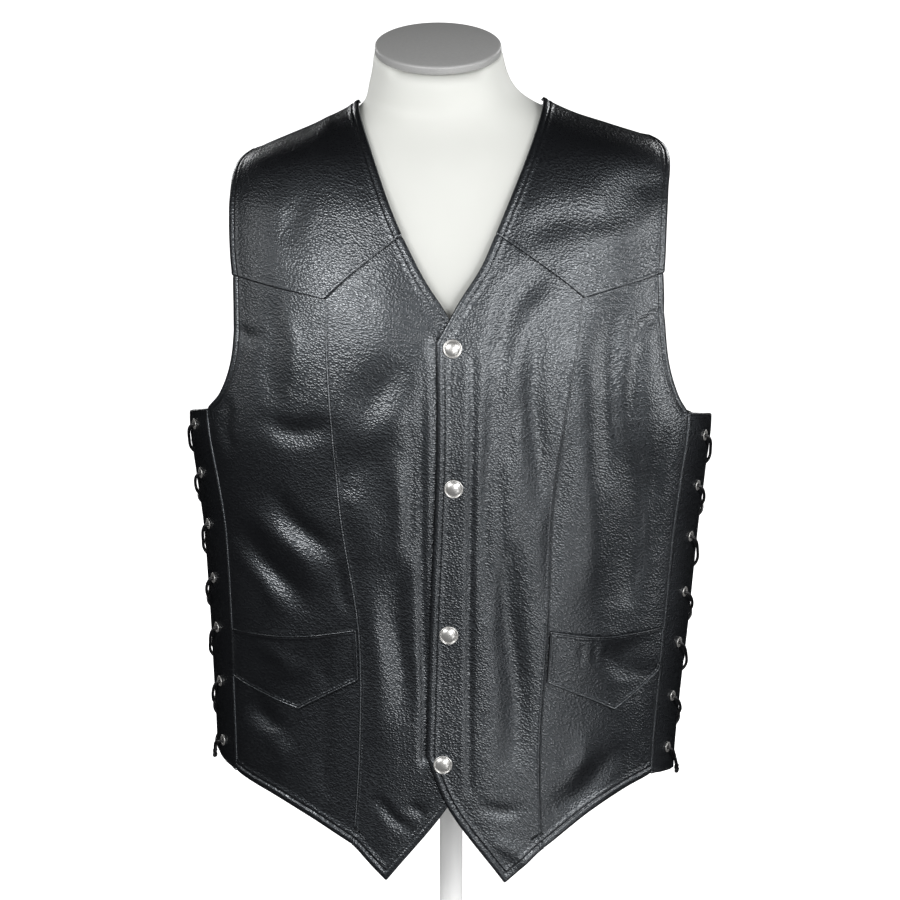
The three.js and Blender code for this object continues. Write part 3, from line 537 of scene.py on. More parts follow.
def tube(name, route, radius, resolution, closed):
    """A mesh tube round a route of points."""
    data = bpy.data.curves.new(name, "CURVE")
    data.dimensions = "3D"
    data.bevel_depth = radius * MM
    data.bevel_resolution = resolution
    data.use_fill_caps = not closed
    spline = data.splines.new("POLY")
    spline.points.add(len(route) - 1)
    spline.points.foreach_set("co", np.column_stack([route * MM, np.ones(len(route))]).ravel())
    spline.use_cyclic_u = closed
    piece = placed(name, data)
    select_only(piece)
    bpy.ops.object.convert(target="MESH")
    return piece


def close_ends(mesh):
    """Joins the flat ends of a cord to its tube and turns every face outward."""
    whole = bmesh.new()
    whole.from_mesh(mesh)
    bmesh.ops.remove_doubles(whole, verts=whole.verts, dist=WELD * MM)
    bmesh.ops.recalc_face_normals(whole, faces=whole.faces)
    for face in whole.faces:
        face.smooth = len(face.verts) > 3
    whole.to_mesh(mesh)
    whole.free()


def add_lace(word, cut):
    places = np.array([beside(cut["side"], level, forward) for forward, level, _ in lace_stops(cut)])
    rises = np.array([rise for _, _, rise in lace_stops(cut)])
    corners = skin(places, rises)
    length = np.linalg.norm(np.diff(corners, axis=0), axis=1).sum()
    route = smooth_line(corners)(np.linspace(0, 1, round(length / LACE_SPACING)))
    lace = tube(f"{word}_lace_cord", route, LACE_DIAMETER / 2, LACE_SMOOTHNESS, closed=False)
    close_ends(lace.data)
    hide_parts(f"{word}_lace")
    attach(lace, BODY)
    return lace


laces = [add_lace(word, cut) for word, cut in HALVES.items()]

# %% [markdown]
# A panel of leather is a thin closed shell. It is built on a grid between its four cut lines.
# The grid is crowded towards the edges, where the leather is turned under and stitched, and
# wider in the middle, where only soft folds have to be followed. Round rims join the outer and
# inner faces, so an edge catches light as a folded edge does.

# %% Grids between cut lines
TURNED_STATIONS = (0, 0.6, 1.4, 2.5, 3.8, 5, 5.6, 6.2, 6.8, 7.8, 9, 10.5, 12.5)
FELLED_STATIONS = (0, 0.6, 1.2, 1.8, 2.3, 2.9, 3.7, 5)
PLAIN_STATIONS = (0, 0.7, 1.6, 3)
SEAM_GAP = 0.3
TUCK = 1.9
LEAST_TUCK = 0.05
TUCK_RAMP = 7
WIDTH_SAMPLES = 25
DOWN_SAMPLES = 41
LEAST_SINE = 0.42
INWARD_PROBE = 0.02
ALONG_PROBE = 0.01


def coons(top, bottom, left, right):
    """The surface between four edge lines, from shares across and down."""
    corner = {
        (u, v): (top if v == 0 else bottom)(np.array(float(u))) for u in (0, 1) for v in (0, 1)
    }

    def at(u, v):
        u, v = np.broadcast_arrays(u, v)
        a = u[..., None]
        b = v[..., None]
        point = (1 - b) * top(u) + b * bottom(u) + (1 - a) * left(v) + a * right(v)
        point -= (1 - a) * (1 - b) * corner[0, 0] + a * (1 - b) * corner[1, 0]
        return point - (1 - a) * b * corner[0, 1] - a * b * corner[1, 1]

    return at


def spread(low, high, corners, length, step):
    """Shares from low to high through each corner, about a step apart on that length."""
    marks = [low, *[c for c in corners if low < c < high], high]
    shares = [low]
    for start, end in zip(marks, marks[1:]):
        count = max(round((end - start) * length / step), 1)
        shares += list(np.linspace(start, end, count + 1)[1:])
    return np.array(shares)


def calmed(values):
    padded = np.pad(values, 2, mode="edge")
    return np.convolve(padded, np.ones(5) / 5, mode="valid")


def reach(surface, shares, across):
    """How far it is across the surface at each share, square to the edges it starts and ends on."""
    ladder = np.linspace(0, 1, WIDTH_SAMPLES)
    at = surface if across else (lambda s, t: surface(t, s))
    lines = at(ladder[None, :], shares[:, None])
    length = np.linalg.norm(np.diff(lines, axis=1), axis=2).sum(axis=1)
    sines = []
    for start, step in ((0.0, INWARD_PROBE), (1.0, -INWARD_PROBE)):
        edge = np.full(shares.shape, start)
        inward = at(edge + step, shares) - at(edge, shares)
        low = np.clip(shares - ALONG_PROBE, 0, 1)
        high = np.clip(shares + ALONG_PROBE, 0, 1)
        along = at(edge, high) - at(edge, low)
        sine = np.linalg.norm(np.cross(inward, along), axis=1)
        sine /= np.linalg.norm(inward, axis=1) * np.linalg.norm(along, axis=1) + 1e-9
        sines.append(calmed(length * np.clip(sine, LEAST_SINE, 1)))
    return length, sines[0], sines[1]


def edge_shares(surface, shares, across, near, far, corners, inset, step):
    """Shares along one direction: crowded stations by both edges and even steps between."""
    length, near_reach, far_reach = reach(surface, shares, across)
    near_part = (inset[0] + np.array(near))[None, :] / near_reach[:, None]
    far_part = 1 - (inset[1] + np.array(far)[::-1])[None, :] / far_reach[:, None]
    nominal = spread(near_part[:, -1].mean(), far_part[:, 0].mean(), corners, length.mean(), step)[1:-1]
    middle = np.tile(nominal, (len(shares), 1))
    first = [c for c in corners if nominal[0] <= c <= nominal[-1]] or [0.5]
    low = nominal[0] - (nominal[1] - nominal[0])
    high = nominal[-1] + (nominal[-1] - nominal[-2])
    ahead = nominal < first[0]
    behind = nominal > first[-1]
    pull = (first[0] - nominal[ahead]) / (first[0] - low)
    middle[:, ahead] += pull[None, :] * (near_part[:, -1:] - low)
    pull = (nominal[behind] - first[-1]) / (high - first[-1])
    middle[:, behind] += pull[None, :] * (far_part[:, :1] - high)
    return np.hstack([near_part, middle, far_part])


def panel_grid(surface, stations, corners, inset, step):
    """3-D points of a panel's grid. stations are those by its left, right, top and bottom
    edges, and corners the shares across and down where an edge turns sharply."""
    left, right, top, bottom = stations
    shares = np.linspace(0, 1, DOWN_SAMPLES)
    down = edge_shares(surface, shares, False, top, bottom, corners[1], inset[2:], step)
    nominal_down = down.mean(axis=0)
    across = edge_shares(surface, nominal_down, True, left, right, corners[0], inset[:2], step)
    nominal_across = across.mean(axis=0)
    v = np.stack([np.interp(nominal_across, shares, down[:, k]) for k in range(down.shape[1])])
    inner_rows = slice(len(top), v.shape[0] - len(bottom))
    v[inner_rows] = nominal_down[inner_rows, None]
    return surface(across, np.clip(v, 0, 1))


def tucked(grid, left=0.0, right=0.0, top=0.0, bottom=0.0):
    """The grid with edges that run on under the neighbouring piece, by a length or one a row."""
    for amount, axis, first in ((left, 1, 0), (right, 1, -1), (top, 0, 0), (bottom, 0, -1)):
        if np.any(amount):
            edge = np.take(grid, first, axis=axis)
            step = edge - np.take(grid, 1 if first == 0 else -2, axis=axis)
            step /= np.linalg.norm(step, axis=-1, keepdims=True)
            extra = np.expand_dims(edge + step * np.reshape(amount, (-1, 1)), axis)
            grid = np.concatenate([extra, grid] if first == 0 else [grid, extra], axis=axis)
    return grid


print("grids crowd to", TURNED_STATIONS[-1], "mm from a turned edge")

# %% [markdown]
# Next come the two kinds of edge that this vest shows. A turned edge is folded under and held
# by a row of stitches 6 mm in: double leather stands proud of the panel, and the stitches pull
# a groove into it. A felled seam is a folded edge stitched down close to its fold, as along the
# yokes, the pockets, the lacing strips and the vertical seams.

# %% Edge relief and shells
LEATHER = 1.6
DOUBLED_LEATHER = 2.4
POCKET_LEATHER = 1.4
YOKE_RISE = 1
STRIP_RISE = 0.8
LAP_RISE = 1.1
LAP_BLEND = (26, 58)
TURNED_STITCH = 6
TURNED_RAISE = 0.55
TURNED_FADE = (7.4, 10.6)
TURNED_GROOVE = 0.6
TURNED_SWELL = 0.45
FELLED_STITCH = 2.1
FELLED_RAISE = 0.55
FELLED_FADE = (2.5, 4.2)
FELLED_GROOVE = 0.55
FELLED_SWELL = 0.3
GROOVE_WIDTH = 0.75
EDGE_SAMPLE = 0.8
FAR_AWAY = 1000
CHUNK = 3000
RIM_ANGLES = [math.radians(angle) for angle in (40, 90, 140)]


def sampled(line, start, end):
    """Points about EDGE_SAMPLE apart along a line between two of its shares or rows."""
    rough = line(np.linspace(start, end, LINE_SAMPLES))
    length = np.linalg.norm(np.diff(rough, axis=0), axis=1).sum()
    return line(np.linspace(start, end, max(round(length / EDGE_SAMPLE), 4)))


def distance_to(points, edges):
    flat = points.reshape(-1, 3)
    if not edges:
        return np.full(points.shape[:-1], float(FAR_AWAY))
    dots = np.vstack(edges)
    least = np.empty(len(flat))
    for start in range(0, len(flat), CHUNK):
        part = flat[start : start + CHUNK]
        square = (part**2).sum(1)[:, None] + (dots**2).sum(1)[None, :] - 2 * part @ dots.T
        least[start : start + CHUNK] = np.sqrt(np.maximum(square.min(axis=1), 0))
    return least.reshape(points.shape[:-1])


def swell(distance, stitch):
    """The fold between an edge and its stitches, rounded like a low roll."""
    return np.sin(np.clip(distance / stitch, 0, 1) * math.pi)


def edge_relief(turned, felled):
    relief = TURNED_RAISE * (1 - smoothstep(turned, *TURNED_FADE))
    relief -= TURNED_GROOVE * np.exp(-(((turned - TURNED_STITCH) / GROOVE_WIDTH) ** 2))
    relief += FELLED_RAISE * (1 - smoothstep(felled, *FELLED_FADE))
    relief += TURNED_SWELL * swell(turned, TURNED_STITCH) + FELLED_SWELL * swell(felled, FELLED_STITCH)
    return relief - FELLED_GROOVE * np.exp(-(((felled - FELLED_STITCH) / GROOVE_WIDTH) ** 2))


def rim_loop(rows, columns):
    """Grid indices once round the border, each with the index of its inner neighbour."""
    last_row = rows - 1
    last_column = columns - 1
    loop = [(0, j) for j in range(columns)]
    loop += [(i, last_column) for i in range(1, rows)]
    loop += [(last_row, j) for j in range(last_column - 1, -1, -1)]
    loop += [(i, 0) for i in range(last_row - 1, 0, -1)]
    loop = np.array(loop)
    inside = np.clip(loop, [1, 1], [last_row - 1, last_column - 1])
    return loop @ [columns, 1], inside @ [columns, 1]


def shell_mesh(name, outer, inner, edge):
    """A closed shell over two matching grids, with rounded rims. edge is each grid point's
    distance from a stitched edge, kept for the leather's finish."""
    rows, columns = outer.shape[:2]
    count = rows * columns
    outer = outer.reshape(-1, 3)
    inner = inner.reshape(-1, 3)
    border, inside = rim_loop(rows, columns)
    middle = (outer[border] + inner[border]) / 2
    up = outer[border] - middle
    radius = np.linalg.norm(up, axis=1, keepdims=True)
    up = up / radius
    out = outer[border] - outer[inside]
    out -= (out * up).sum(1, keepdims=True) * up
    out /= np.linalg.norm(out, axis=1, keepdims=True)
    rims = [
        middle + radius * (math.cos(angle) * up + math.sin(angle) * out)
        for angle in RIM_ANGLES
    ]
    points = np.vstack([outer, inner, *rims])
    i, j = np.meshgrid(np.arange(rows - 1), np.arange(columns - 1), indexing="ij")
    corner = (i * columns + j).ravel()
    top = np.stack([corner, corner + columns, corner + columns + 1, corner + 1], axis=1)
    around = len(border)
    rounds = [2 * count + k * around + np.arange(around) for k in range(len(rims))]
    loops = [border, *rounds, border + count]
    faces = [top, top[:, ::-1] + count]
    for a, b in zip(loops, loops[1:]):
        faces.append(np.stack([a, np.roll(a, -1), np.roll(b, -1), b], axis=1))
    faces = np.vstack(faces)
    a, b, c, d = (points[faces[:, k]] for k in range(4))
    volume = (np.cross(b - a, c - a) * a).sum() + (np.cross(c - a, d - a) * a).sum()
    if volume < 0:
        faces = faces[:, ::-1]
    mesh = bpy.data.meshes.new(name)
    mesh.vertices.add(len(points))
    mesh.vertices.foreach_set("co", (points * MM).ravel())
    mesh.loops.add(faces.size)
    mesh.loops.foreach_set("vertex_index", faces.ravel())
    mesh.polygons.add(len(faces))
    mesh.polygons.foreach_set("loop_start", np.arange(len(faces)) * 4)
    mesh.update(calc_edges=True)
    mesh.validate()
    mesh.shade_smooth()
    kept = mesh.attributes.new("edge_mm", "FLOAT", "POINT")
    flat = edge.ravel()
    kept.data.foreach_set("value", np.concatenate([flat, flat, *[flat[border]] * len(rims)]))
    area = np.linalg.norm(np.cross(b - a, d - b), axis=1).sum() / 2 * MM * MM
    return mesh, area


def declare(piece, node):
    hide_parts(node)
    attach(piece, BODY)


PANELS = {}


def add_panel(name, node, grid, thickness, rise, turned=(), felled=()):
    """A leather piece on a grid of points. rise is how far its outer face stands off."""
    place = place_under(grid)
    base = body_point(place)
    hem = distance_to(base, turned)
    fell = distance_to(base, felled)
    lift = rise(place)
    outer = skin(place, lift + edge_relief(hem, fell))
    inner = skin(place, lift - thickness)
    mesh, area = shell_mesh(name, outer, inner, np.minimum(hem, fell))
    piece = placed(name, mesh)
    declare(piece, node)
    PANELS[name] = {
        "piece": piece, "rise": rise, "turned": list(turned), "felled": list(felled),
        "centre": base.reshape(-1, 3).mean(axis=0),
    }
    print(f"{name}: {len(mesh.polygons)} faces, {area:.4f} square metres of leather")
    return piece


print("turned edges are stitched", TURNED_STITCH, "mm in")

# %% [markdown]
# Each half of the vest has a yoke, a centre front, a side front with its pocket, and two lacing
# strips. They share cut lines, so each line is drawn once and used by the pieces on both sides
# of it. Down a front there are 23 rows, and the pocket's edges and the sharp corners of the
# front edge lie on whole rows.

# %% Cut lines of a half
ROW_MARKS = [0, 4, 12, 15, 18, 23]
SEAM_SHARES = [0, 0.12, 0.597, 0.693, 0.8, 1]
ARMHOLE_ROW = 6
POCKET_ROW = 12
POINT_ROW = 15
LAST_ROW = 23


def cut_lines(cut):
    places = {key: [front(*point) for point in cut[key]] for key in (
        "yoke_neck", "neck", "edge", "point", "hem_front", "hem_side", "yoke_front", "yoke_side",
        "seam", "armhole_yoke", "armhole")}
    strip = [beside(cut["side"], level, forward) for level, forward in cut["strip_seam"]]
    back_seam = line_of([beside(cut["side"], level, forward) for level, forward in cut["back_seam"]])
    seam = line_of(places["seam"])
    neck_tip = beside(cut["side"], SHOULDER_NECK, 0)
    arm_tip = beside(cut["side"], SHOULDER_TIP, 0)
    yoke_neck = line_of([neck_tip, *places["yoke_neck"]])
    yoke_armhole = line_of([arm_tip, *places["armhole_yoke"][::-1]])
    strip_line = chain(
        (POCKET_ROW - ARMHOLE_ROW, line_of(strip[:3])),
        (POINT_ROW - ARMHOLE_ROW, line_of(strip[2:4])),
        (LAST_ROW - ARMHOLE_ROW, line_of(strip[3:])),
    )
    lines = {
        "seam": lambda row: seam(np.interp(row, ROW_MARKS, SEAM_SHARES)),
        "front_edge": chain(
            (ROW_MARKS[1], line_of(places["neck"])),
            (ROW_MARKS[4], line_of(places["edge"])),
            (LAST_ROW, line_of(places["point"])),
        ),
        "hem_front": line_of(places["hem_front"]),
        "hem_side": line_of([*places["hem_side"], strip[-1]]),
        "yoke_bottom": chain((0.5, line_of(places["yoke_front"])), (1, line_of(places["yoke_side"]))),
        "yoke_front": line_of(places["yoke_front"]),
        "yoke_side": line_of(places["yoke_side"]),
        "yoke_neck": lambda v: yoke_neck(np.asarray(v) ** SHOULDER_EASE),
        "yoke_armhole": lambda v: yoke_armhole(np.asarray(v) ** SHOULDER_EASE),
        "armhole": line_of([*places["armhole"], strip[0]]),
        "strip": strip_line,
        "back_seam": back_seam,
    }
    lines["side_edge"] = chain(
        (ARMHOLE_ROW, lines["armhole"]),
        (LAST_ROW, lambda share: strip_line(share * (LAST_ROW - ARMHOLE_ROW))),
    )
    return lines


def shoulder_line(side, start, end):
    """The shoulder seam from one level of its ridge to another."""

    def at(share):
        level = start + (end - start) * np.asarray(share, float)
        turn = np.full(level.shape, side * math.pi / 2 * GIRTH)
        return body_point(np.stack([turn, level], axis=-1))

    return at


LINES = {word: cut_lines(cut) for word, cut in HALVES.items()}
print("shared cut lines:", len(LINES["left"]), "a half")

# %% [markdown]
# The fronts come first. The left one laps over the right one in the middle, so it stands a
# little proud there, and the right one lies a little deeper and dips away under its edge.

# %% Yokes and centre fronts
FINE_STEP = 2.2
LAP_DIP = 2.1
LAP_DIP_WIDTH = 5.5
SIDE_STEP = 2.6
RIM_TURNED = (LEATHER + TURNED_RAISE) / 2 + SEAM_GAP / 2
RIM_FELLED = (LEATHER + FELLED_RAISE) / 2 + SEAM_GAP / 2
RIM_PLAIN = LEATHER / 2 + SEAM_GAP / 2


def yoke_rise(place):
    return np.full(place.shape[:-1], float(YOKE_RISE))


def flat_rise(place):
    return np.zeros(place.shape[:-1])


def lap_rise(cut):
    """The left front stands proud of the lap, and the right one dips away under its edge."""
    over = sampled(LINES["left"]["front_edge"], ROW_MARKS[1], ROW_MARKS[4])

    def rise(place):
        point = body_point(place)
        blend = LAP_RISE * (1 - smoothstep(np.abs(point[..., 0]), *LAP_BLEND))
        if cut["side"] > 0:
            return blend
        return -blend - LAP_DIP * np.exp(-((distance_to(point, [over]) / LAP_DIP_WIDTH) ** 2))

    return rise


def add_yoke(word, cut, lines):
    surface = coons(
        shoulder_line(cut["side"], SHOULDER_NECK, SHOULDER_TIP), lines["yoke_bottom"],
        lines["yoke_neck"], lines["yoke_armhole"],
    )
    grid = panel_grid(
        surface, (TURNED_STATIONS, TURNED_STATIONS, PLAIN_STATIONS, FELLED_STATIONS),
        ([0.5], []), (RIM_TURNED, RIM_TURNED, RIM_PLAIN, RIM_FELLED), FINE_STEP,
    )
    grid = tucked(grid, top=TUCK)
    turned = [sampled(lines["yoke_neck"], 0, 1), sampled(lines["yoke_armhole"], 0, 1)]
    felled = [sampled(lines["yoke_bottom"], 0, 1)]
    add_panel(f"{word}_yoke_leather", f"{word}_yoke", grid, LEATHER, yoke_rise, turned, felled)


def add_centre_front(word, cut, lines):
    rows = lambda line: (lambda v: line(np.asarray(v) * LAST_ROW))
    surface = coons(lines["yoke_front"], lines["hem_front"], rows(lines["front_edge"]), rows(lines["seam"]))
    corners = [ROW_MARKS[1] / LAST_ROW, ROW_MARKS[4] / LAST_ROW]
    grid = panel_grid(
        surface, (TURNED_STATIONS, FELLED_STATIONS, PLAIN_STATIONS, TURNED_STATIONS),
        ([], corners), (RIM_TURNED, RIM_FELLED, RIM_PLAIN, RIM_TURNED), FINE_STEP,
    )
    grid = tucked(grid, top=TUCK)
    turned = [sampled(lines["front_edge"], 0, LAST_ROW), sampled(lines["hem_front"], 0, 1)]
    felled = [sampled(lines["seam"], 0, LAST_ROW)]
    name = f"{word}_centre_front_leather"
    add_panel(name, f"{word}_centre_front", grid, LEATHER, lap_rise(cut), turned, felled)


for word, cut in HALVES.items():
    add_yoke(word, cut, LINES[word])
    add_centre_front(word, cut, LINES[word])

# %% [markdown]
# A side front is three bands one below the other: down to the pocket's opening, down to its
# pointed lower edge, and on to the hem. The pocket is a patch on the middle band. Its opening
# gapes a little, which throws the dark line seen above each pocket.

# %% Side fronts and pockets
POCKET_STEP = 2.2
POCKET_GAPE = 3
GAPE_FADE = 2.4
POCKET_LIFT = SEAM_GAP + POCKET_LEATHER


def pocket_lines(cut, lines):
    corners = [place_under(lines["seam"](POCKET_ROW)), front(*cut["pocket_top"])]
    opening = line_of([*corners, place_under(lines["side_edge"](POCKET_ROW))])
    point = front(*cut["pocket_point"])
    lower = chain(
        (0.5, line_of([place_under(lines["seam"](POINT_ROW)), point])),
        (1, line_of([point, place_under(lines["side_edge"](POINT_ROW))])),
    )
    return opening, lower


def banded(lines, opening, lower):
    """The side front's surface, with the share down counted over all its rows."""
    marks = [0, POCKET_ROW, POINT_ROW, LAST_ROW]
    levels = [lines["yoke_side"], opening, lower, lines["hem_side"]]
    bands = []
    for start, end, top, bottom in zip(marks, marks[1:], levels, levels[1:]):
        rows = lambda line, a=start, b=end: (lambda v: line(a + np.asarray(v) * (b - a)))
        bands.append((start, end, coons(top, bottom, rows(lines["seam"]), rows(lines["side_edge"]))))

    def at(u, v):
        u, v = np.broadcast_arrays(np.asarray(u, float), np.asarray(v, float))
        row = np.clip(v, 0, 1) * LAST_ROW
        points = np.zeros((*u.shape, 3))
        for start, end, band in bands:
            inside = (row >= start - 1e-9) & (row <= end + 1e-9)
            points[inside] = band(u[inside], (row[inside] - start) / (end - start))
        return points

    return at, bands[1][2]


def side_tuck(levels, strip_top):
    """Below the armhole a side edge runs on under its lacing strip."""
    return LEAST_TUCK + TUCK * smoothstep(strip_top - levels, 0, TUCK_RAMP)


def pocket_rise(depth, opening):
    """A pocket's own face, lifted by its gape: most in the middle of the opening."""

    def rise(place):
        point = body_point(place)
        below = distance_to(point, [opening])
        ends = np.minimum(
            np.linalg.norm(point - opening[0], axis=-1), np.linalg.norm(point - opening[-1], axis=-1)
        )
        width = np.linalg.norm(opening[0] - opening[-1])
        middle = np.sin(np.clip(ends / width, 0, 0.5) * math.pi)
        return POCKET_LIFT + POCKET_GAPE * middle * np.clip(1 - below / depth, 0, 1) ** GAPE_FADE

    return rise


def add_side_front(word, cut, lines):
    opening, lower = pocket_lines(cut, lines)
    surface, pocket_band = banded(lines, opening, lower)
    corners = [ARMHOLE_ROW / LAST_ROW, POCKET_ROW / LAST_ROW, POINT_ROW / LAST_ROW]
    grid = panel_grid(
        surface, (PLAIN_STATIONS, TURNED_STATIONS, PLAIN_STATIONS, TURNED_STATIONS),
        ([0.5], corners), (RIM_PLAIN, RIM_TURNED, RIM_PLAIN, RIM_TURNED), SIDE_STEP,
    )
    strip_top = lines["strip"](np.array(0.0))[2]
    grid = tucked(grid, left=TUCK, right=side_tuck(grid[:, -1, 2], strip_top))
    grid = tucked(grid, top=TUCK)
    turned = [sampled(lines["armhole"], 0, 1), sampled(lines["hem_side"], 0, 1)]
    add_panel(f"{word}_side_front_leather", f"{word}_side_front", grid, LEATHER, flat_rise, turned)
    pocket_grid = panel_grid(
        pocket_band, (FELLED_STATIONS, FELLED_STATIONS, FELLED_STATIONS, FELLED_STATIONS),
        ([0.5], []), (RIM_FELLED, RIM_FELLED, RIM_FELLED, RIM_FELLED), POCKET_STEP,
    )
    rows = (POCKET_ROW, POINT_ROW)
    felled = [
        sampled(opening, 0, 1), sampled(lower, 0, 1),
        sampled(lines["seam"], *rows), sampled(lines["side_edge"], *rows),
    ]
    depth = np.linalg.norm(opening(np.array(0.5)) - lower(np.array(0.5)))
    rise = pocket_rise(depth, felled[0])
    add_panel(f"{word}_pocket_leather", f"{word}_pocket", pocket_grid, POCKET_LEATHER, rise, (), felled)


for word, cut in HALVES.items():
    add_side_front(word, cut, LINES[word])

# %% [markdown]
# The lacing strips are doubled leather, so they stay straight under the pull of the lace. Each
# is stitched down along its seam and along its free edge, and punched for seven eyelets.

# %% Lacing strips
STRIP_STEP = 2.6
EYELET_HOLE = 3.3
DRILL_SIDES = 20
DRILL_LENGTH = 14


def strip_rise(place):
    return np.full(place.shape[:-1], float(STRIP_RISE))


def strip_surface(cut, seam, facing):
    """From the strip's seam straight across to its free edge beside the lacing gap."""
    hem = cut["hem_at_edge"] if facing > 0 else cut["back_hem_at_edge"]
    top = place_under(seam(np.array(0.0)))[1]

    def free_edge(v):
        levels = top - STRIP_TOP_SLANT + (hem - top + STRIP_TOP_SLANT) * np.asarray(v, float)
        forward = facing * cut["strip_edge"]
        places = [beside(cut["side"], level, forward) for level in levels.ravel()]
        return body_point(np.array(places).reshape(*levels.shape, 2))

    def surface(u, v):
        share = np.asarray(u)[..., None]
        return (1 - share) * seam(v) + share * free_edge(v)

    return surface, free_edge


def outward_matrix(place, rise):
    """A frame that stands on the leather, its own Z pointing outward."""
    turn = Vector((0, 0, 1)).rotation_difference(Vector(body_normal(place))).to_matrix().to_4x4()
    turn.translation = Vector(skin(place, rise)) * MM
    return turn


def punch(piece, places):
    """Cuts a round hole through a strip at each place."""
    drills = []
    for place in places:
        bpy.ops.mesh.primitive_cylinder_add(
            vertices=DRILL_SIDES, radius=EYELET_HOLE * MM, depth=DRILL_LENGTH * MM
        )
        drill = bpy.context.object
        drill.data.transform(outward_matrix(place, 0))
        drills.append(drill)
    bpy.ops.object.select_all(action="DESELECT")
    for drill in drills:
        drill.select_set(True)
    bpy.context.view_layer.objects.active = drills[0]
    bpy.ops.object.join()
    cutter = bpy.context.object
    select_only(piece)
    hole = piece.modifiers.new("holes", "BOOLEAN")
    hole.operation = "DIFFERENCE"
    hole.object = cutter
    hole.solver = "EXACT"
    bpy.ops.object.modifier_apply(modifier=hole.name)
    bpy.data.objects.remove(cutter, do_unlink=True)


def eyelet_places(cut, facing):
    drop = 0 if facing > 0 else BACK_DROP
    return [beside(cut["side"], level - drop, facing * cut["eyelet"]) for level in cut["eyelets"]]


def add_strip(word, cut, lines, facing):
    where = "front" if facing > 0 else "back"
    rows = LAST_ROW - ARMHOLE_ROW
    seam = (lambda v: lines["strip"](np.asarray(v) * rows)) if facing > 0 else lines["back_seam"]
    surface, free_edge = strip_surface(cut, seam, facing)
    rim = (DOUBLED_LEATHER + FELLED_RAISE) / 2 + SEAM_GAP / 2
    grid = panel_grid(
        surface, (FELLED_STATIONS, FELLED_STATIONS, FELLED_STATIONS, FELLED_STATIONS), ([], []),
        (rim, rim, rim, rim), STRIP_STEP,
    )
    hem_line = lambda u: surface(np.asarray(u, float), np.ones(np.shape(u)))
    top_line = lambda u: surface(np.asarray(u, float), np.zeros(np.shape(u)))
    felled = [sampled(line, 0, 1) for line in (seam, free_edge, hem_line, top_line)]
    name = f"{word}_{where}_strip_leather"
    piece = add_panel(name, f"{word}_{where}_strip", grid, DOUBLED_LEATHER, strip_rise, (), felled)
    punch(piece, eyelet_places(cut, facing))
    piece.data.shade_smooth()


for word, cut in HALVES.items():
    for facing in (1, -1):
        add_strip(word, cut, LINES[word], facing)

# %% [markdown]
# The back is one plain piece. The photograph doesn't show it, so it gets only what such a vest
# has: turned edges at the neck, armholes and hem, and the soft folds of hanging leather.

# %% Back
BACK_STEP = 3.8
SHOULDER_SHARE = 0.25
ARMHOLE_SHARE = 10 / 19


def back_side_line(cut, lines):
    armhole = [beside(cut["side"], level, forward) for level, forward in BACK_ARMHOLE]
    seam_top = beside(cut["side"], *cut["back_seam"][0])
    line = line_of([beside(cut["side"], SHOULDER_TIP, 0), *armhole[::-1], seam_top])
    eased = lambda share: line(share**SHOULDER_EASE)
    return chain((ARMHOLE_SHARE, eased), (1, lines["back_seam"]))


def back_neck_line():
    half = [np.array([math.radians(angle) * GIRTH, level]) for angle, level in BACK_NECK]
    other = [np.array([-turn, level]) for turn, level in half[:-1][::-1]]
    return line_of([*half, *other])


def back_hem_line():
    ends = [beside(cut["side"], *cut["back_seam"][-1]) for cut in (LEFT, RIGHT)]
    turns = (ends[0][0], ends[1][0] + 2 * math.pi * GIRTH)

    def at(share):
        share = np.asarray(share, float)
        turn = turns[0] + (turns[1] - turns[0]) * share
        return body_point(np.stack([turn, np.full(share.shape, ends[0][1])], axis=-1))

    return at


def add_back():
    sides = [back_side_line(HALVES[word], LINES[word]) for word in HALVES]
    neck = back_neck_line()
    left_shoulder = shoulder_line(1, SHOULDER_TIP, SHOULDER_NECK)
    right_shoulder = shoulder_line(-1, SHOULDER_NECK, SHOULDER_TIP)
    top = chain((SHOULDER_SHARE, left_shoulder), (1 - SHOULDER_SHARE, neck), (1, right_shoulder))
    hem = back_hem_line()
    surface = coons(top, hem, *sides)
    grid = panel_grid(
        surface, (PLAIN_STATIONS, PLAIN_STATIONS, TURNED_STATIONS, TURNED_STATIONS),
        ([SHOULDER_SHARE, 1 - SHOULDER_SHARE], [ARMHOLE_SHARE]),
        (RIM_TURNED, RIM_TURNED, RIM_TURNED, RIM_TURNED), BACK_STEP,
    )
    strip_top = LINES["left"]["back_seam"](np.array(0.0))[2]
    grid = tucked(grid, left=side_tuck(grid[:, 0, 2], strip_top), right=side_tuck(grid[:, -1, 2], strip_top))
    turned = [sampled(neck, 0, 1), sampled(hem, 0, 1)]
    turned += [sampled(side, 0, ARMHOLE_SHARE) for side in sides]
    add_panel("back_leather", "back", grid, LEATHER, flat_rise, turned)


add_back()

# %% [markdown]
# Stitches are short loops of thread that sit in the groove of their seam. Each is a tiny tube
# that dives into the leather at both ends. A whole row is made as one mesh, so the thousands of
# stitches of a vest stay light. Each pocket has a second row beside its seam.

# %% Stitching
STITCH_PITCH = 3.1
SECOND_STITCH = 6.2
STITCH_LENGTH = 2.3
THREAD = 0.21
STITCH_SINK = 0.3
STITCH_LIFT = 0.16
THREAD_SIDES = 4
CLEAR_SHARE = 0.94
WHOLE_SHARE = 0.8


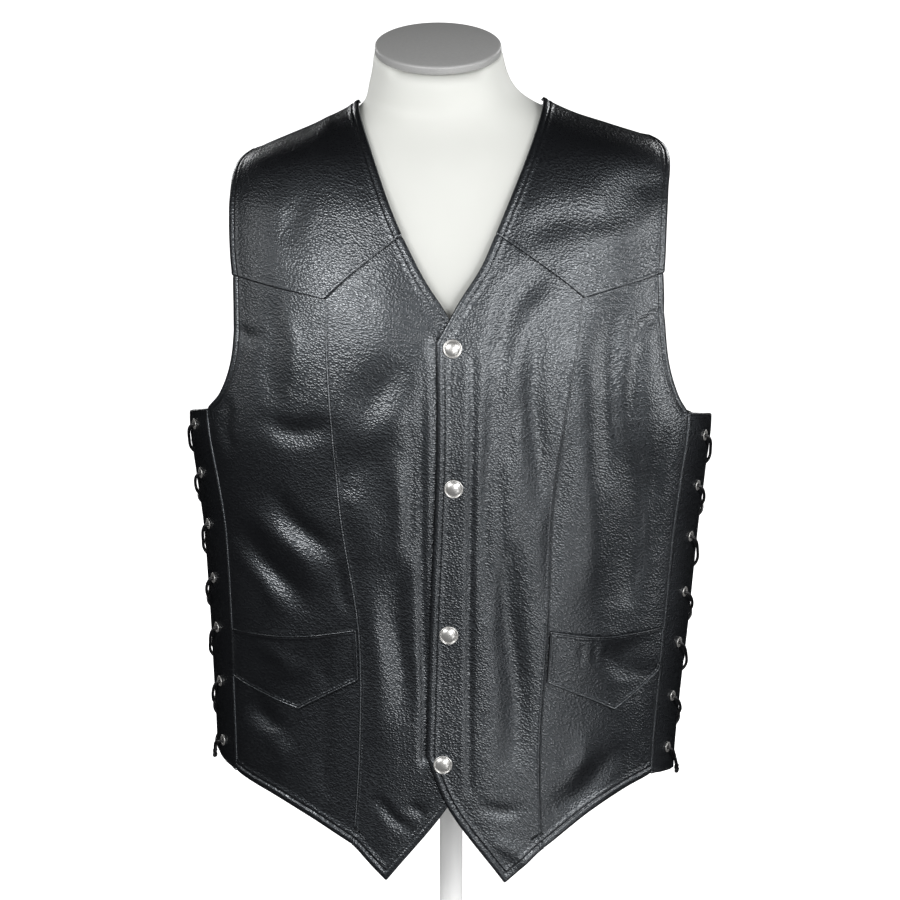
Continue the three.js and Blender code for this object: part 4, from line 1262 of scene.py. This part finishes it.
def offset_line(panel, line, offset):
    """A line moved inward on its panel, less what lies too close to another stitched edge."""
    place = place_under(line)
    normal = body_normal(place)
    tangent = np.gradient(line, axis=0)
    tangent /= np.linalg.norm(tangent, axis=1, keepdims=True)
    inward = np.cross(normal, tangent)
    if ((panel["centre"] - line) * inward).sum() < 0:
        inward = -inward
    moved = body_point(place_under(line + inward * offset))
    clear = np.ones(len(moved), bool)
    for edges, least in ((panel["turned"], TURNED_STITCH), (panel["felled"], FELLED_STITCH)):
        if edges:
            clear &= distance_to(moved, edges) > min(least, offset) * CLEAR_SHARE
    return moved[clear]


def stitch_points(line):
    """Starts, middles and ends of stitches along a line, none across a gap in it."""
    step = np.linalg.norm(np.diff(line, axis=0), axis=1)
    run = np.concatenate([[0], np.cumsum(step)])
    starts = np.arange(STITCH_PITCH / 2, run[-1] - STITCH_PITCH, STITCH_PITCH)
    along = starts[:, None] + np.array([0, 0.5, 1]) * STITCH_LENGTH
    points = np.stack([np.interp(along, run, line[:, k]) for k in range(3)], axis=-1)
    whole = np.linalg.norm(points[:, 2] - points[:, 0], axis=1) > STITCH_LENGTH * WHOLE_SHARE
    jumps = run[1:][step > STITCH_LENGTH]
    for jump in jumps:
        whole &= (along[:, 2] < jump - STITCH_LENGTH) | (along[:, 0] > jump + STITCH_LENGTH)
    return points[whole]


def thread_mesh(name, points, normals):
    """Small four-sided tubes over three points each."""
    tangent = points[:, 2] - points[:, 0]
    tangent /= np.linalg.norm(tangent, axis=1, keepdims=True)
    aside = np.cross(tangent[:, None, :], normals)
    angles = np.arange(THREAD_SIDES) / THREAD_SIDES * 2 * math.pi
    ring = np.cos(angles)[:, None, None, None] * aside + np.sin(angles)[:, None, None, None] * normals
    vertices = (points[None] + THREAD * ring).transpose(1, 2, 0, 3).reshape(-1, 3)
    faces = []
    for low in (0, THREAD_SIDES):
        high = low + THREAD_SIDES
        for a in range(THREAD_SIDES):
            b = (a + 1) % THREAD_SIDES
            faces.append([low + a, high + a, high + b, low + b])
    faces.append([0, 1, 2, 3])
    faces.append([11, 10, 9, 8])
    each = np.array(faces)
    every = (np.arange(len(points)) * 3 * THREAD_SIDES)[:, None, None] + each[None]
    mesh = bpy.data.meshes.new(name)
    mesh.from_pydata((vertices * MM).tolist(), [], every.reshape(-1, 4).tolist())
    mesh.update()
    return mesh


def sew(panel_name, rows):
    """Rows of stitches on one panel: each an edge line and how far in it is stitched."""
    panel = PANELS[panel_name]
    points = np.vstack([stitch_points(offset_line(panel, line, offset)) for line, offset in rows])
    place = place_under(points)
    base = body_point(place)
    relief = edge_relief(distance_to(base, panel["turned"]), distance_to(base, panel["felled"]))
    lift = panel["rise"](place) + relief + np.array([-STITCH_SINK, STITCH_LIFT, -STITCH_SINK])
    mesh = thread_mesh(panel_name.replace("leather", "stitches"), skin(place, lift), body_normal(place))
    piece = placed(mesh.name, mesh)
    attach(piece, BODY)
    panel["stitches"] = piece
    print(f"{piece.name}: {len(points)} stitches")


def sew_half(word):
    for name in ("yoke", "centre_front", "side_front", "pocket", "front_strip", "back_strip"):
        panel = PANELS[f"{word}_{name}_leather"]
        rows = [(line, TURNED_STITCH) for line in panel["turned"]]
        rows += [(line, FELLED_STITCH) for line in panel["felled"]]
        if name == "pocket":
            rows.append((panel["felled"][2], SECOND_STITCH))
        sew(f"{word}_{name}_leather", rows)


for word in HALVES:
    sew_half(word)
sew("back_leather", [(line, TURNED_STITCH) for line in PANELS["back_leather"]["turned"]])

# %% [markdown]
# Round metal parts are turned shapes. Each starts as a circle whose ring is extruded from step
# to step of its profile, wider or narrower each time, as on a lathe. The profile is a list of
# radii and heights, so a cap, an eyelet or a foot differs only in its numbers.

# %% Turned shapes
RING = 48
WIDE_RING = 96
SMOOTH_ANGLE = math.radians(32)
TURNED_WELD = 0.001


def to_centre(rise):
    """Closes the selected ring with a fan to a point on the axis."""
    bpy.ops.mesh.extrude_region_move(TRANSFORM_OT_translate={"value": (0, 0, rise * MM)})
    bpy.ops.mesh.merge(type="CENTER")


def turned(name, profile, segments=RING):
    """A turned shape, standing up from the origin, from (radius, height) steps in millimetres.
    A radius of zero closes an end, and a profile that ends where it starts is a ring."""
    bpy.ops.object.select_all(action="DESELECT")
    steps = [step for step in profile if step[0] > 0]
    bpy.ops.mesh.primitive_circle_add(vertices=segments, radius=steps[0][0] * MM, fill_type="NOTHING")
    piece = bpy.context.object
    piece.name = name
    piece.data.name = name
    piece.data.transform(Matrix.Translation((0, 0, steps[0][1] * MM)))
    bpy.ops.object.mode_set(mode="EDIT")
    bpy.ops.mesh.select_mode(type="VERT")
    bpy.ops.mesh.select_all(action="SELECT")
    for before, after in zip(steps, steps[1:]):
        rise = (after[1] - before[1]) * MM
        bpy.ops.mesh.extrude_region_move(TRANSFORM_OT_translate={"value": (0, 0, rise)})
        scale = after[0] / before[0]
        bpy.ops.transform.resize(value=(scale, scale, 1), center_override=(0, 0, after[1] * MM))
    if profile[-1][0] == 0:
        to_centre(profile[-1][1] - steps[-1][1])
    if profile[0][0] == 0:
        bpy.ops.mesh.select_all(action="DESELECT")
        bpy.ops.mesh.select_non_manifold()
        to_centre(profile[0][1] - steps[0][1])
    bpy.ops.mesh.select_all(action="SELECT")
    bpy.ops.mesh.remove_doubles(threshold=TURNED_WELD * MM)
    bpy.ops.mesh.normals_make_consistent(inside=False)
    bpy.ops.object.mode_set(mode="OBJECT")
    bpy.ops.object.shade_smooth_by_angle(angle=SMOOTH_ANGLE)
    return piece


def copy_to(model, name, matrix):
    """A copy of a modelled piece with its own mesh, put in its place."""
    mesh = model.data.copy()
    mesh.name = name
    mesh.transform(matrix)
    return placed(name, mesh)


def arc(centre_radius, centre_height, radius, start, end, count):
    """Profile steps round part of a circle, from one angle to another in degrees."""
    angles = [math.radians(start + (end - start) * k / count) for k in range(count + 1)]
    return [(centre_radius + radius * math.cos(a), centre_height + radius * math.sin(a)) for a in angles]


print("a turned ring has", RING, "sides")

# %% [markdown]
# The four snap caps are pressed brass, nickel plated: a dome inside a rolled rim, with a fine
# groove between them. The cap hides the socket behind it, so only the cap is made.

# %% Snap caps
SNAP_RADIUS = 8
SNAP_HEIGHT = 2.4
SNAP_RIM = 0.72
SNAP_GROOVE = [(6.35, 0.8), (6.1, 0.9)]
SNAP_SHOULDER = (5.7, 1.25)
SNAP_FULLNESS = 0.8
SNAPS = [(1, 572), (2, 455), (-2, 329), (-7, 217)]
SNAP_DOME_STEPS = 7


def snap_profile():
    rim = arc(SNAP_RADIUS - SNAP_RIM, SNAP_RIM, SNAP_RIM, -90, 150, 10)
    shoulder, top = SNAP_SHOULDER
    dome = []
    for k in range(SNAP_DOME_STEPS):
        radius = shoulder * (1 - k / SNAP_DOME_STEPS)
        dome.append((radius, top + (SNAP_HEIGHT - top) * (1 - (radius / shoulder) ** 2) ** SNAP_FULLNESS))
    return [(0, 0), *rim, *SNAP_GROOVE, *dome, (0, SNAP_HEIGHT)]


snap_model = turned("snap_cap_model", snap_profile())
snaps = []
for k, (x, z) in enumerate(SNAPS):
    cap = copy_to(snap_model, f"snap_cap_{k + 1}", outward_matrix(front(x, z), LAP_RISE + SEAM_GAP))
    declare(cap, f"snap_{k + 1}")
    snaps.append(cap)
bpy.data.objects.remove(snap_model, do_unlink=True)
print(len(snaps), "snap caps")

# %% [markdown]
# An eyelet is a short tube whose flange is rolled over the leather. One is turned and copied to
# each hole, and every copy stands square to the strip where it sits.

# %% Eyelets
EYELET_BORE = 2.6
EYELET_BARREL = 2.95
EYELET_FLANGE = 4.5
EYELET_ROLL = 0.45
EYELET_REACH = 0.7
EYELET_RING = 28


def eyelet_profile():
    under = -DOUBLED_LEATHER - EYELET_REACH
    roll = arc(EYELET_FLANGE - EYELET_ROLL, SEAM_GAP + EYELET_ROLL, EYELET_ROLL, -90, 90, 6)
    lip = arc(EYELET_BORE + EYELET_ROLL, SEAM_GAP + EYELET_ROLL, EYELET_ROLL, 90, 180, 4)
    start = (EYELET_BORE, under)
    return [start, (EYELET_BARREL, under), (EYELET_BARREL, SEAM_GAP), *roll, *lip, start]


eyelet_model = turned("eyelet_model", eyelet_profile(), EYELET_RING)
eyelets = []
for word, cut in HALVES.items():
    for where, facing in (("front", 1), ("back", -1)):
        for k, place in enumerate(eyelet_places(cut, facing)):
            name = f"{word}_{where}_eyelet"
            ring = copy_to(eyelet_model, f"{name}_ring_{k + 1}", outward_matrix(place, STRIP_RISE))
            declare(ring, f"{name}_{k + 1}")
            eyelets.append(ring)
bpy.data.objects.remove(eyelet_model, do_unlink=True)
print(len(eyelets), "eyelets")

# %% [markdown]
# The lace ends meet in a small overhand knot. A knot is a closed curve that passes over and
# under itself three times, given the lace's thickness and pressed a little flat.

# %% Lace knots
KNOT_SIZE = 1.25
KNOT_FLATTEN = 0.8
KNOT_HEIGHT = 0.9
KNOT_POINTS = 48
KNOT_CORD = 1.15
KNOT_SMOOTHNESS = 2


def add_knot(word, cut):
    turns = np.linspace(0, 2 * math.pi, KNOT_POINTS, endpoint=False)
    x = np.sin(turns) + 2 * np.sin(2 * turns)
    z = np.cos(turns) - 2 * np.cos(2 * turns)
    y = -np.sin(3 * turns) * KNOT_FLATTEN
    centre = skin(beside(cut["side"], cut["back_hem_at_edge"] + KNOT_ABOVE_HEM, 0), KNOT_RISE)
    loop = np.stack([y, x, z], axis=1) * KNOT_SIZE * [1, 1, KNOT_HEIGHT] + centre
    knot = tube(f"{word}_lace_end_knot", loop, KNOT_CORD, KNOT_SMOOTHNESS, closed=True)
    knot.data.shade_smooth()
    declare(knot, f"{word}_lace_knot")
    return knot


knots = [add_knot(word, cut) for word, cut in HALVES.items()]
print(len(knots), "knots")

# %% [markdown]
# The dress form has the torso's CAD shape, which is already smooth from ring to ring. A copy of
# it is merged, turned to quads and given a subdivision surface, so no facet shows at the neck.

# %% Dress form
FORM_CREASE = 0.9
FORM_WELD = 0.01
QUAD_ANGLE = math.radians(60)
RIM_SPREAD = 20


def on_edge(a, b, top, low):
    """Whether an edge of the form runs round the top of its neck or round its open bottom."""
    round_neck = a.z > top and b.z > top and abs(a.xy.length - b.xy.length) < RIM_SPREAD * MM
    return round_neck or (a.z < low + MM and b.z < low + MM)


def add_form():
    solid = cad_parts["torso"]
    form = solid.copy()
    form.data = solid.data.copy()
    form.parent = None
    form.name = "form_cover"
    form.data.name = "form_cover"
    bpy.context.collection.objects.link(form)
    form.matrix_world = Matrix.Identity(4)
    select_only(form)
    bpy.ops.object.mode_set(mode="EDIT")
    bpy.ops.mesh.select_all(action="SELECT")
    bpy.ops.mesh.remove_doubles(threshold=FORM_WELD * MM)
    bpy.ops.mesh.tris_convert_to_quads(face_threshold=QUAD_ANGLE, shape_threshold=QUAD_ANGLE)
    bpy.ops.object.mode_set(mode="OBJECT")
    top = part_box("neck_cap")[0][2]
    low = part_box("torso")[0][2]
    creases = np.zeros(len(form.data.edges))
    for edge in form.data.edges:
        a, b = (form.data.vertices[k].co for k in edge.vertices)
        creases[edge.index] = FORM_CREASE if on_edge(a, b, top, low) else 0
    form.data.attributes.new("crease_edge", "FLOAT", "EDGE").data.foreach_set("value", creases)
    smooth = form.modifiers.new("smooth", "SUBSURF")
    smooth.levels = 2
    smooth.render_levels = 2
    bpy.ops.object.modifier_apply(modifier=smooth.name)
    form.data.shade_smooth()
    declare(form, "torso")
    return form


form = add_form()
print("form", len(form.data.polygons), "faces")

# %% [markdown]
# A brushed metal cap closes the neck. It is turned like the snaps, tilted with the neck's cut
# and widened a touch from front to back. The pole, its collar and the foot are plain turned
# steel with a white powder coat.

# %% Neck cap and stand
CAP_RADIUS = 53.3
CAP_DEPTH = 1.02
CAP_HEIGHT = 8
CAP_DOME = 5
CAP_STEPS = 8
CAP_ROUND = 2.4
CAP_TILT = math.radians(16)
CAP_PLACE = (-11, -4.5, 805.1)
POLE_RADIUS = 10
POLE_LEVELS = (14, 206.7)
COLLAR_NECK = 14.5
COLLAR_RADIUS = 32
COLLAR_BORE = 10.6
COLLAR_LEVELS = (190, 214.7)
COLLAR_PLATE = 3
COLLAR_CONE = 6
CHAMFER = 0.5
FOOT_RADIUS = 135
FOOT_HEIGHT = 9
FOOT_ROUND = 2.6
BOSS_RADIUS = 22
BOSS_TOP = 13.7
SMALL_ROUND = 1


def add_neck_cap():
    lower = arc(CAP_RADIUS - CAP_ROUND, CAP_ROUND, CAP_ROUND, -90, 0, 5)
    upper = arc(CAP_RADIUS - CAP_ROUND, CAP_HEIGHT - CAP_ROUND, CAP_ROUND, 0, 78, 6)
    edge_radius, edge_height = upper[-1]
    top = CAP_HEIGHT + CAP_DOME
    dome = []
    for k in range(1, CAP_STEPS):
        share = 1 - k / CAP_STEPS
        dome.append((edge_radius * share, edge_height + (top - edge_height) * (1 - share**2)))
    cap = turned("neck_cap_cover", [(0, 0), *lower, *upper, *dome, (0, top)], WIDE_RING)
    place = Matrix.Translation(Vector(CAP_PLACE) * MM) @ Matrix.Rotation(CAP_TILT, 4, "X")
    cap.data.transform(place @ Matrix.Diagonal((1, CAP_DEPTH, 1, 1)))
    declare(cap, "neck_cap")
    return cap


def add_stand():
    low, high = POLE_LEVELS
    pole = turned("pole_tube", [(0, low), (POLE_RADIUS, low), (POLE_RADIUS, high), (0, high)])
    bottom, top = COLLAR_LEVELS
    inner = COLLAR_RADIUS - SMALL_ROUND
    under = arc(inner, top - COLLAR_PLATE + SMALL_ROUND, SMALL_ROUND, -90, 0, 4)
    collar = turned("collar_plate", [
        (0, high + SEAM_GAP), (COLLAR_BORE, high + SEAM_GAP), (COLLAR_BORE, bottom),
        (COLLAR_NECK - CHAMFER, bottom), (COLLAR_NECK, bottom + CHAMFER),
        (COLLAR_NECK, top - COLLAR_CONE), *under, (COLLAR_RADIUS, top), (0, top),
    ])
    lower = arc(FOOT_RADIUS - SMALL_ROUND, SMALL_ROUND, SMALL_ROUND, -90, 0, 3)
    upper = arc(FOOT_RADIUS - FOOT_ROUND, FOOT_HEIGHT - FOOT_ROUND, FOOT_ROUND, 0, 90, 6)
    boss = arc(BOSS_RADIUS - SMALL_ROUND, BOSS_TOP - SMALL_ROUND, SMALL_ROUND, 0, 90, 4)
    boss = [(BOSS_RADIUS, FOOT_HEIGHT + CHAMFER), *boss, (0, BOSS_TOP)]
    foot = turned("foot_plate", [(0, 0), *lower, *upper, *boss], WIDE_RING)
    declare(pole, "pole")
    declare(collar, "collar")
    declare(foot, "foot")
    return pole, collar, foot


neck_cap = add_neck_cap()
stand = add_stand()
print("stand", [piece.name for piece in stand])

# %% [markdown]
# Now the finishes. A small helper makes a material with its shader, and others add the nodes a
# finish needs. All patterns read object coordinates in metres, so grain and scratches keep their
# real size on every piece.

# %% Material helpers
def new_material(name, **sockets):
    material = bpy.data.materials.new(name)
    material.use_nodes = True
    shader = material.node_tree.nodes["Principled BSDF"]
    for key, value in sockets.items():
        shader.inputs[key.replace("_", " ")].default_value = value
    return material, material.node_tree, shader


def node(tree, kind, operation=None, **inputs):
    made = tree.nodes.new(kind)
    if operation:
        made.operation = operation
    for key, value in inputs.items():
        socket = made.inputs[int(key[1:])] if key[1:].isdigit() else made.inputs[key.replace("_", " ")]
        if isinstance(value, bpy.types.NodeSocket):
            tree.links.new(value, socket)
        else:
            socket.default_value = value
    return made


def ramp(tree, factor, stops):
    made = node(tree, "ShaderNodeValToRGB", Fac=factor)
    elements = made.color_ramp.elements
    while len(elements) < len(stops):
        elements.new(0.5)
    for element, (position, colour) in zip(elements, stops):
        element.position = position
        element.color = (*colour, 1)
    return made.outputs["Color"]


def grey(value):
    return (value, value, value)


def coordinates(tree, scale=(1, 1, 1), turn=(0, 0, 0)):
    where = node(tree, "ShaderNodeTexCoord").outputs["Object"]
    mapping = node(tree, "ShaderNodeMapping", Vector=where)
    mapping.inputs["Scale"].default_value = scale
    mapping.inputs["Rotation"].default_value = turn
    return mapping.outputs["Vector"]


def noise(tree, vector, scale, detail, roughness=0.5):
    return node(
        tree, "ShaderNodeTexNoise", Vector=vector, Scale=scale, Detail=detail, Roughness=roughness
    ).outputs["Fac"]


def bump(tree, height, distance):
    return node(tree, "ShaderNodeBump", Height=height, Distance=distance).outputs["Normal"]


print("helpers ready")

# %% [markdown]
# Black pebbled cowhide, semi-gloss. Its grain is a net of rounded pebbles, about 2.2 mm long and
# 1.5 mm high and a little slanted, with fine valleys between them. The pebbles are glossy and catch
# the light. The valleys are dull, and painted shade makes their colour darker. Near a stitched
# edge the leather is stretched, so the grain is shallower there.

# %% Leather
PEBBLE_SCALE = 660
GRAIN_TURN = math.radians(-24)
PEBBLE_STRETCH = (0.68, 0.68, 1)
PEBBLE_DEPTH = 0.00019
WRINKLE_SCALE = 260
WRINKLE_SHARE = 0.22
DRIFT = 0.003
DRIFT_SCALE = 60
PEBBLE_STOPS = [(0.0, grey(1)), (0.3, grey(0.85)), (0.55, grey(0.4)), (0.85, grey(0))]
GRAIN_EDGE = (0.5, 5)
GRAIN_LEAST = 0.4
# The valleys are painted darker than the pebbles. This is painted shade in the grain's hollows, over the
# leather's own black.
VALLEY_SHADE_COLOUR = (0.003, 0.0031, 0.0038)
PEBBLE_COLOUR = (0.0075, 0.0078, 0.0094)
SHINE_COLOUR = (0.84, 0.92, 1, 1)
GRAIN_SHINE = {
    # socket: in a valley, on a pebble
    "Roughness": (0.5, 0.25),
    "Coat Weight": (0.15, 1),
}


def leather_material():
    material, tree, shader = new_material(
        "black pebbled leather", IOR=1.6, Specular_IOR_Level=0.85, Specular_Tint=SHINE_COLOUR,
        Coat_Roughness=0.17, Coat_IOR=1.7,
    )
    slanted = coordinates(tree, turn=(0, GRAIN_TURN, 0))
    where = node(tree, "ShaderNodeVectorMath", "MULTIPLY", _0=slanted, _1=PEBBLE_STRETCH).outputs[0]
    drift = node(tree, "ShaderNodeTexNoise", Vector=where, Scale=DRIFT_SCALE, Detail=2).outputs["Color"]
    bent = node(tree, "ShaderNodeVectorMath", "MULTIPLY_ADD", _0=drift, _1=(DRIFT, DRIFT, DRIFT))
    tree.links.new(where, bent.inputs[2])
    cells = node(tree, "ShaderNodeTexVoronoi", Vector=bent.outputs[0], Scale=PEBBLE_SCALE)
    pebble = ramp(tree, cells.outputs["Distance"], PEBBLE_STOPS)
    wrinkle = noise(tree, where, WRINKLE_SCALE, 4, 0.6)
    edge = node(tree, "ShaderNodeAttribute")
    edge.attribute_name = "edge_mm"
    calm = node(
        tree, "ShaderNodeMapRange", Value=edge.outputs["Fac"],
        From_Min=GRAIN_EDGE[0], From_Max=GRAIN_EDGE[1], To_Min=GRAIN_LEAST,
    )
    raised = node(tree, "ShaderNodeMath", "MULTIPLY", _0=pebble, _1=calm.outputs[0])
    height = node(tree, "ShaderNodeMath", "MULTIPLY_ADD", _0=wrinkle, _1=WRINKLE_SHARE)
    tree.links.new(raised.outputs[0], height.inputs[2])
    normal = bump(tree, height.outputs[0], PEBBLE_DEPTH)
    tree.links.new(normal, shader.inputs["Normal"])
    tree.links.new(normal, shader.inputs["Coat Normal"])
    # The base colour follows the grain's height, so the valleys get painted shade.
    colour = ramp(tree, pebble, [(0.0, VALLEY_SHADE_COLOUR), (1.0, PEBBLE_COLOUR)])
    tree.links.new(colour, shader.inputs["Base Color"])
    for socket, (valley, top) in GRAIN_SHINE.items():
        share = node(tree, "ShaderNodeMapRange", Value=pebble, To_Min=valley, To_Max=top)
        tree.links.new(share.outputs[0], shader.inputs[socket])
    return material


def paint(piece, material):
    piece.data.materials.clear()
    piece.data.materials.append(material)


leather = leather_material()
for panel in PANELS.values():
    paint(panel["piece"], leather)
print(len(PANELS), "leather pieces finished")

# %% [markdown]
# The lace and the thread are black too, but smoother: the lace is a rolled leather cord with a
# soft shine, and the thread is waxed polyester.

# %% Lace and thread
LACE_COLOUR = (0.012, 0.012, 0.013, 1)
LACE_GRAIN = 900
LACE_GRAIN_DEPTH = 0.00012
THREAD_GRAIN = 1500
THREAD_TONES = [(0.3, grey(0.006)), (0.8, grey(0.03))]


def cord_material():
    material, tree, shader = new_material("black lace leather", Roughness=0.36)
    shader.inputs["Base Color"].default_value = LACE_COLOUR
    grain = noise(tree, coordinates(tree), LACE_GRAIN, 3)
    tree.links.new(bump(tree, grain, LACE_GRAIN_DEPTH), shader.inputs["Normal"])
    return material


def thread_material():
    material, tree, shader = new_material("black waxed thread", Roughness=0.42)
    shade = ramp(tree, noise(tree, coordinates(tree), THREAD_GRAIN, 2), THREAD_TONES)
    tree.links.new(shade, shader.inputs["Base Color"])
    return material


cord = cord_material()
thread = thread_material()
for piece in laces + knots:
    paint(piece, cord)
for panel in PANELS.values():
    paint(panel["stitches"], thread)
print("laces and thread finished")

# %% [markdown]
# Four plain finishes are left: nickel with fine handling scratches, brushed steel on the neck
# cap, the off-white cover of the form and the white coat of its stand.

# %% Metal, cover and coat
NICKEL_SCRATCH = 900
NICKEL_STRETCH = (1, 1, 6)
NICKEL_TONES = [(0.25, (0.62, 0.61, 0.59)), (0.75, (0.86, 0.85, 0.83))]
NICKEL_DULLNESS = [(0.3, grey(0.24)), (0.8, grey(0.42))]
STEEL_BRUSHING = 260
STEEL_STRETCH = (1, 14, 14)
STEEL_TONES = [(0.3, (0.4, 0.4, 0.395)), (0.7, (0.52, 0.52, 0.515))]
STEEL_DEPTH = 0.00004
COVER_CLOUDS = 9
COVER_TONES = [(0.3, (0.7, 0.708, 0.672)), (0.7, (0.735, 0.743, 0.707))]
COVER_WEAVE = 1300
COVER_DEPTH = 0.00005
COAT_COLOUR = (0.94, 0.94, 0.935, 1)
COAT_GRAIN = 700
COAT_DEPTH = 0.00005


def nickel_material():
    material, tree, shader = new_material("nickel plate", Metallic=0.8, Roughness=0.3)
    scratch = noise(tree, coordinates(tree, scale=NICKEL_STRETCH), NICKEL_SCRATCH, 5, 0.7)
    tree.links.new(ramp(tree, scratch, NICKEL_TONES), shader.inputs["Base Color"])
    tree.links.new(ramp(tree, scratch, NICKEL_DULLNESS), shader.inputs["Roughness"])
    return material


def brushed_material():
    material, tree, shader = new_material("brushed steel", Metallic=0.3, Roughness=0.5)
    where = coordinates(tree, scale=STEEL_STRETCH, turn=(-CAP_TILT, 0, 0))
    grain = noise(tree, where, STEEL_BRUSHING, 6, 0.7)
    tree.links.new(ramp(tree, grain, STEEL_TONES), shader.inputs["Base Color"])
    tree.links.new(bump(tree, grain, STEEL_DEPTH), shader.inputs["Normal"])
    return material


def cover_material():
    material, tree, shader = new_material("off-white cover", Roughness=0.62)
    where = coordinates(tree)
    clouds = noise(tree, where, COVER_CLOUDS, 3)
    tree.links.new(ramp(tree, clouds, COVER_TONES), shader.inputs["Base Color"])
    weave = noise(tree, where, COVER_WEAVE, 2)
    tree.links.new(bump(tree, weave, COVER_DEPTH), shader.inputs["Normal"])
    return material


def coat_material():
    material, tree, shader = new_material("white powder coat", Roughness=0.38)
    shader.inputs["Base Color"].default_value = COAT_COLOUR
    grain = noise(tree, coordinates(tree), COAT_GRAIN, 2)
    tree.links.new(bump(tree, grain, COAT_DEPTH), shader.inputs["Normal"])
    return material


nickel = nickel_material()
for metal in snaps + eyelets:
    paint(metal, nickel)
paint(neck_cap, brushed_material())
paint(form, cover_material())
coat = coat_material()
for piece in stand:
    paint(piece, coat)
print("finishes done")

# %% [markdown]


print(len(PANELS), "sheets declared")

# %% [markdown]
# The stage is a plain, pale floor under soft studio light. Black leather shows its form only by
# what it reflects, so the floor and the sky stay out of its reflections. Six large lamps in front
# and at the sides make its highlights, and two behind show its back. One of them lies below the
# floor, which casts no shadow. Standard colours keep the white of the floor white.

# %% Stage and lights
FLOOR_SIZE = 90
FLOOR_GLOW = 1.05
FLOOR_COLOUR = (0.9, 0.9, 0.9, 1)
WHITE = (1, 1, 1, 1)
SKY = 0.42
LAMP_DISTANCE = 2.2
LAMP_AIM = Vector((0, -0.06, 0.48))
LAMPS = [
    # name, turn to the right and height in degrees, width and height in metres, watts
    ("left_key", -30, 18, 1.1, 0.5, 18.5),
    ("front_low", 14, 0, 0.65, 0.8, 10.5),
    ("right_key", 38, 18, 1.3, 0.5, 14),
    ("right_edge", 78, 4, 0.7, 0.9, 9),
    ("left_edge", -74, 15, 0.7, 0.8, 3.5),
    ("right_glow", 30, -28, 0.6, 0.5, 2.4),
    ("back_left", 142, 24, 0.9, 0.6, 8),
    ("back_right", -146, 20, 0.8, 0.7, 7),
]


def add_floor():
    bpy.ops.mesh.primitive_plane_add(size=FLOOR_SIZE)
    floor = bpy.context.object
    floor.name = "floor"
    material, tree, shader = new_material("pale floor", Roughness=0.9, Emission_Strength=FLOOR_GLOW)
    shader.inputs["Base Color"].default_value = FLOOR_COLOUR
    shader.inputs["Emission Color"].default_value = WHITE
    paint(floor, material)
    floor.visible_glossy = False
    floor.visible_diffuse = False
    floor.visible_shadow = False


def add_lamp(name, turn, rise, width, height, watts):
    data = bpy.data.lights.new(name, "AREA")
    data.shape = "RECTANGLE"
    data.size = width
    data.size_y = height
    data.energy = watts
    lamp = placed(name, data)
    turn = math.radians(turn)
    rise = math.radians(rise)
    away = Vector((math.sin(turn) * math.cos(rise), -math.cos(turn) * math.cos(rise), math.sin(rise)))
    lamp.location = LAMP_AIM + away * LAMP_DISTANCE
    lamp.rotation_euler = away.to_track_quat("Z", "Y").to_euler()


def add_sky():
    world = bpy.data.worlds.new("studio")
    bpy.context.scene.world = world
    world.use_nodes = True
    background = world.node_tree.nodes["Background"]
    background.inputs["Color"].default_value = WHITE
    background.inputs["Strength"].default_value = SKY
    world.cycles_visibility.glossy = False


add_floor()
for lamp in LAMPS:
    add_lamp(*lamp)
add_sky()
bpy.context.scene.view_settings.view_transform = "Standard"
print(len(LAMPS), "lamps")
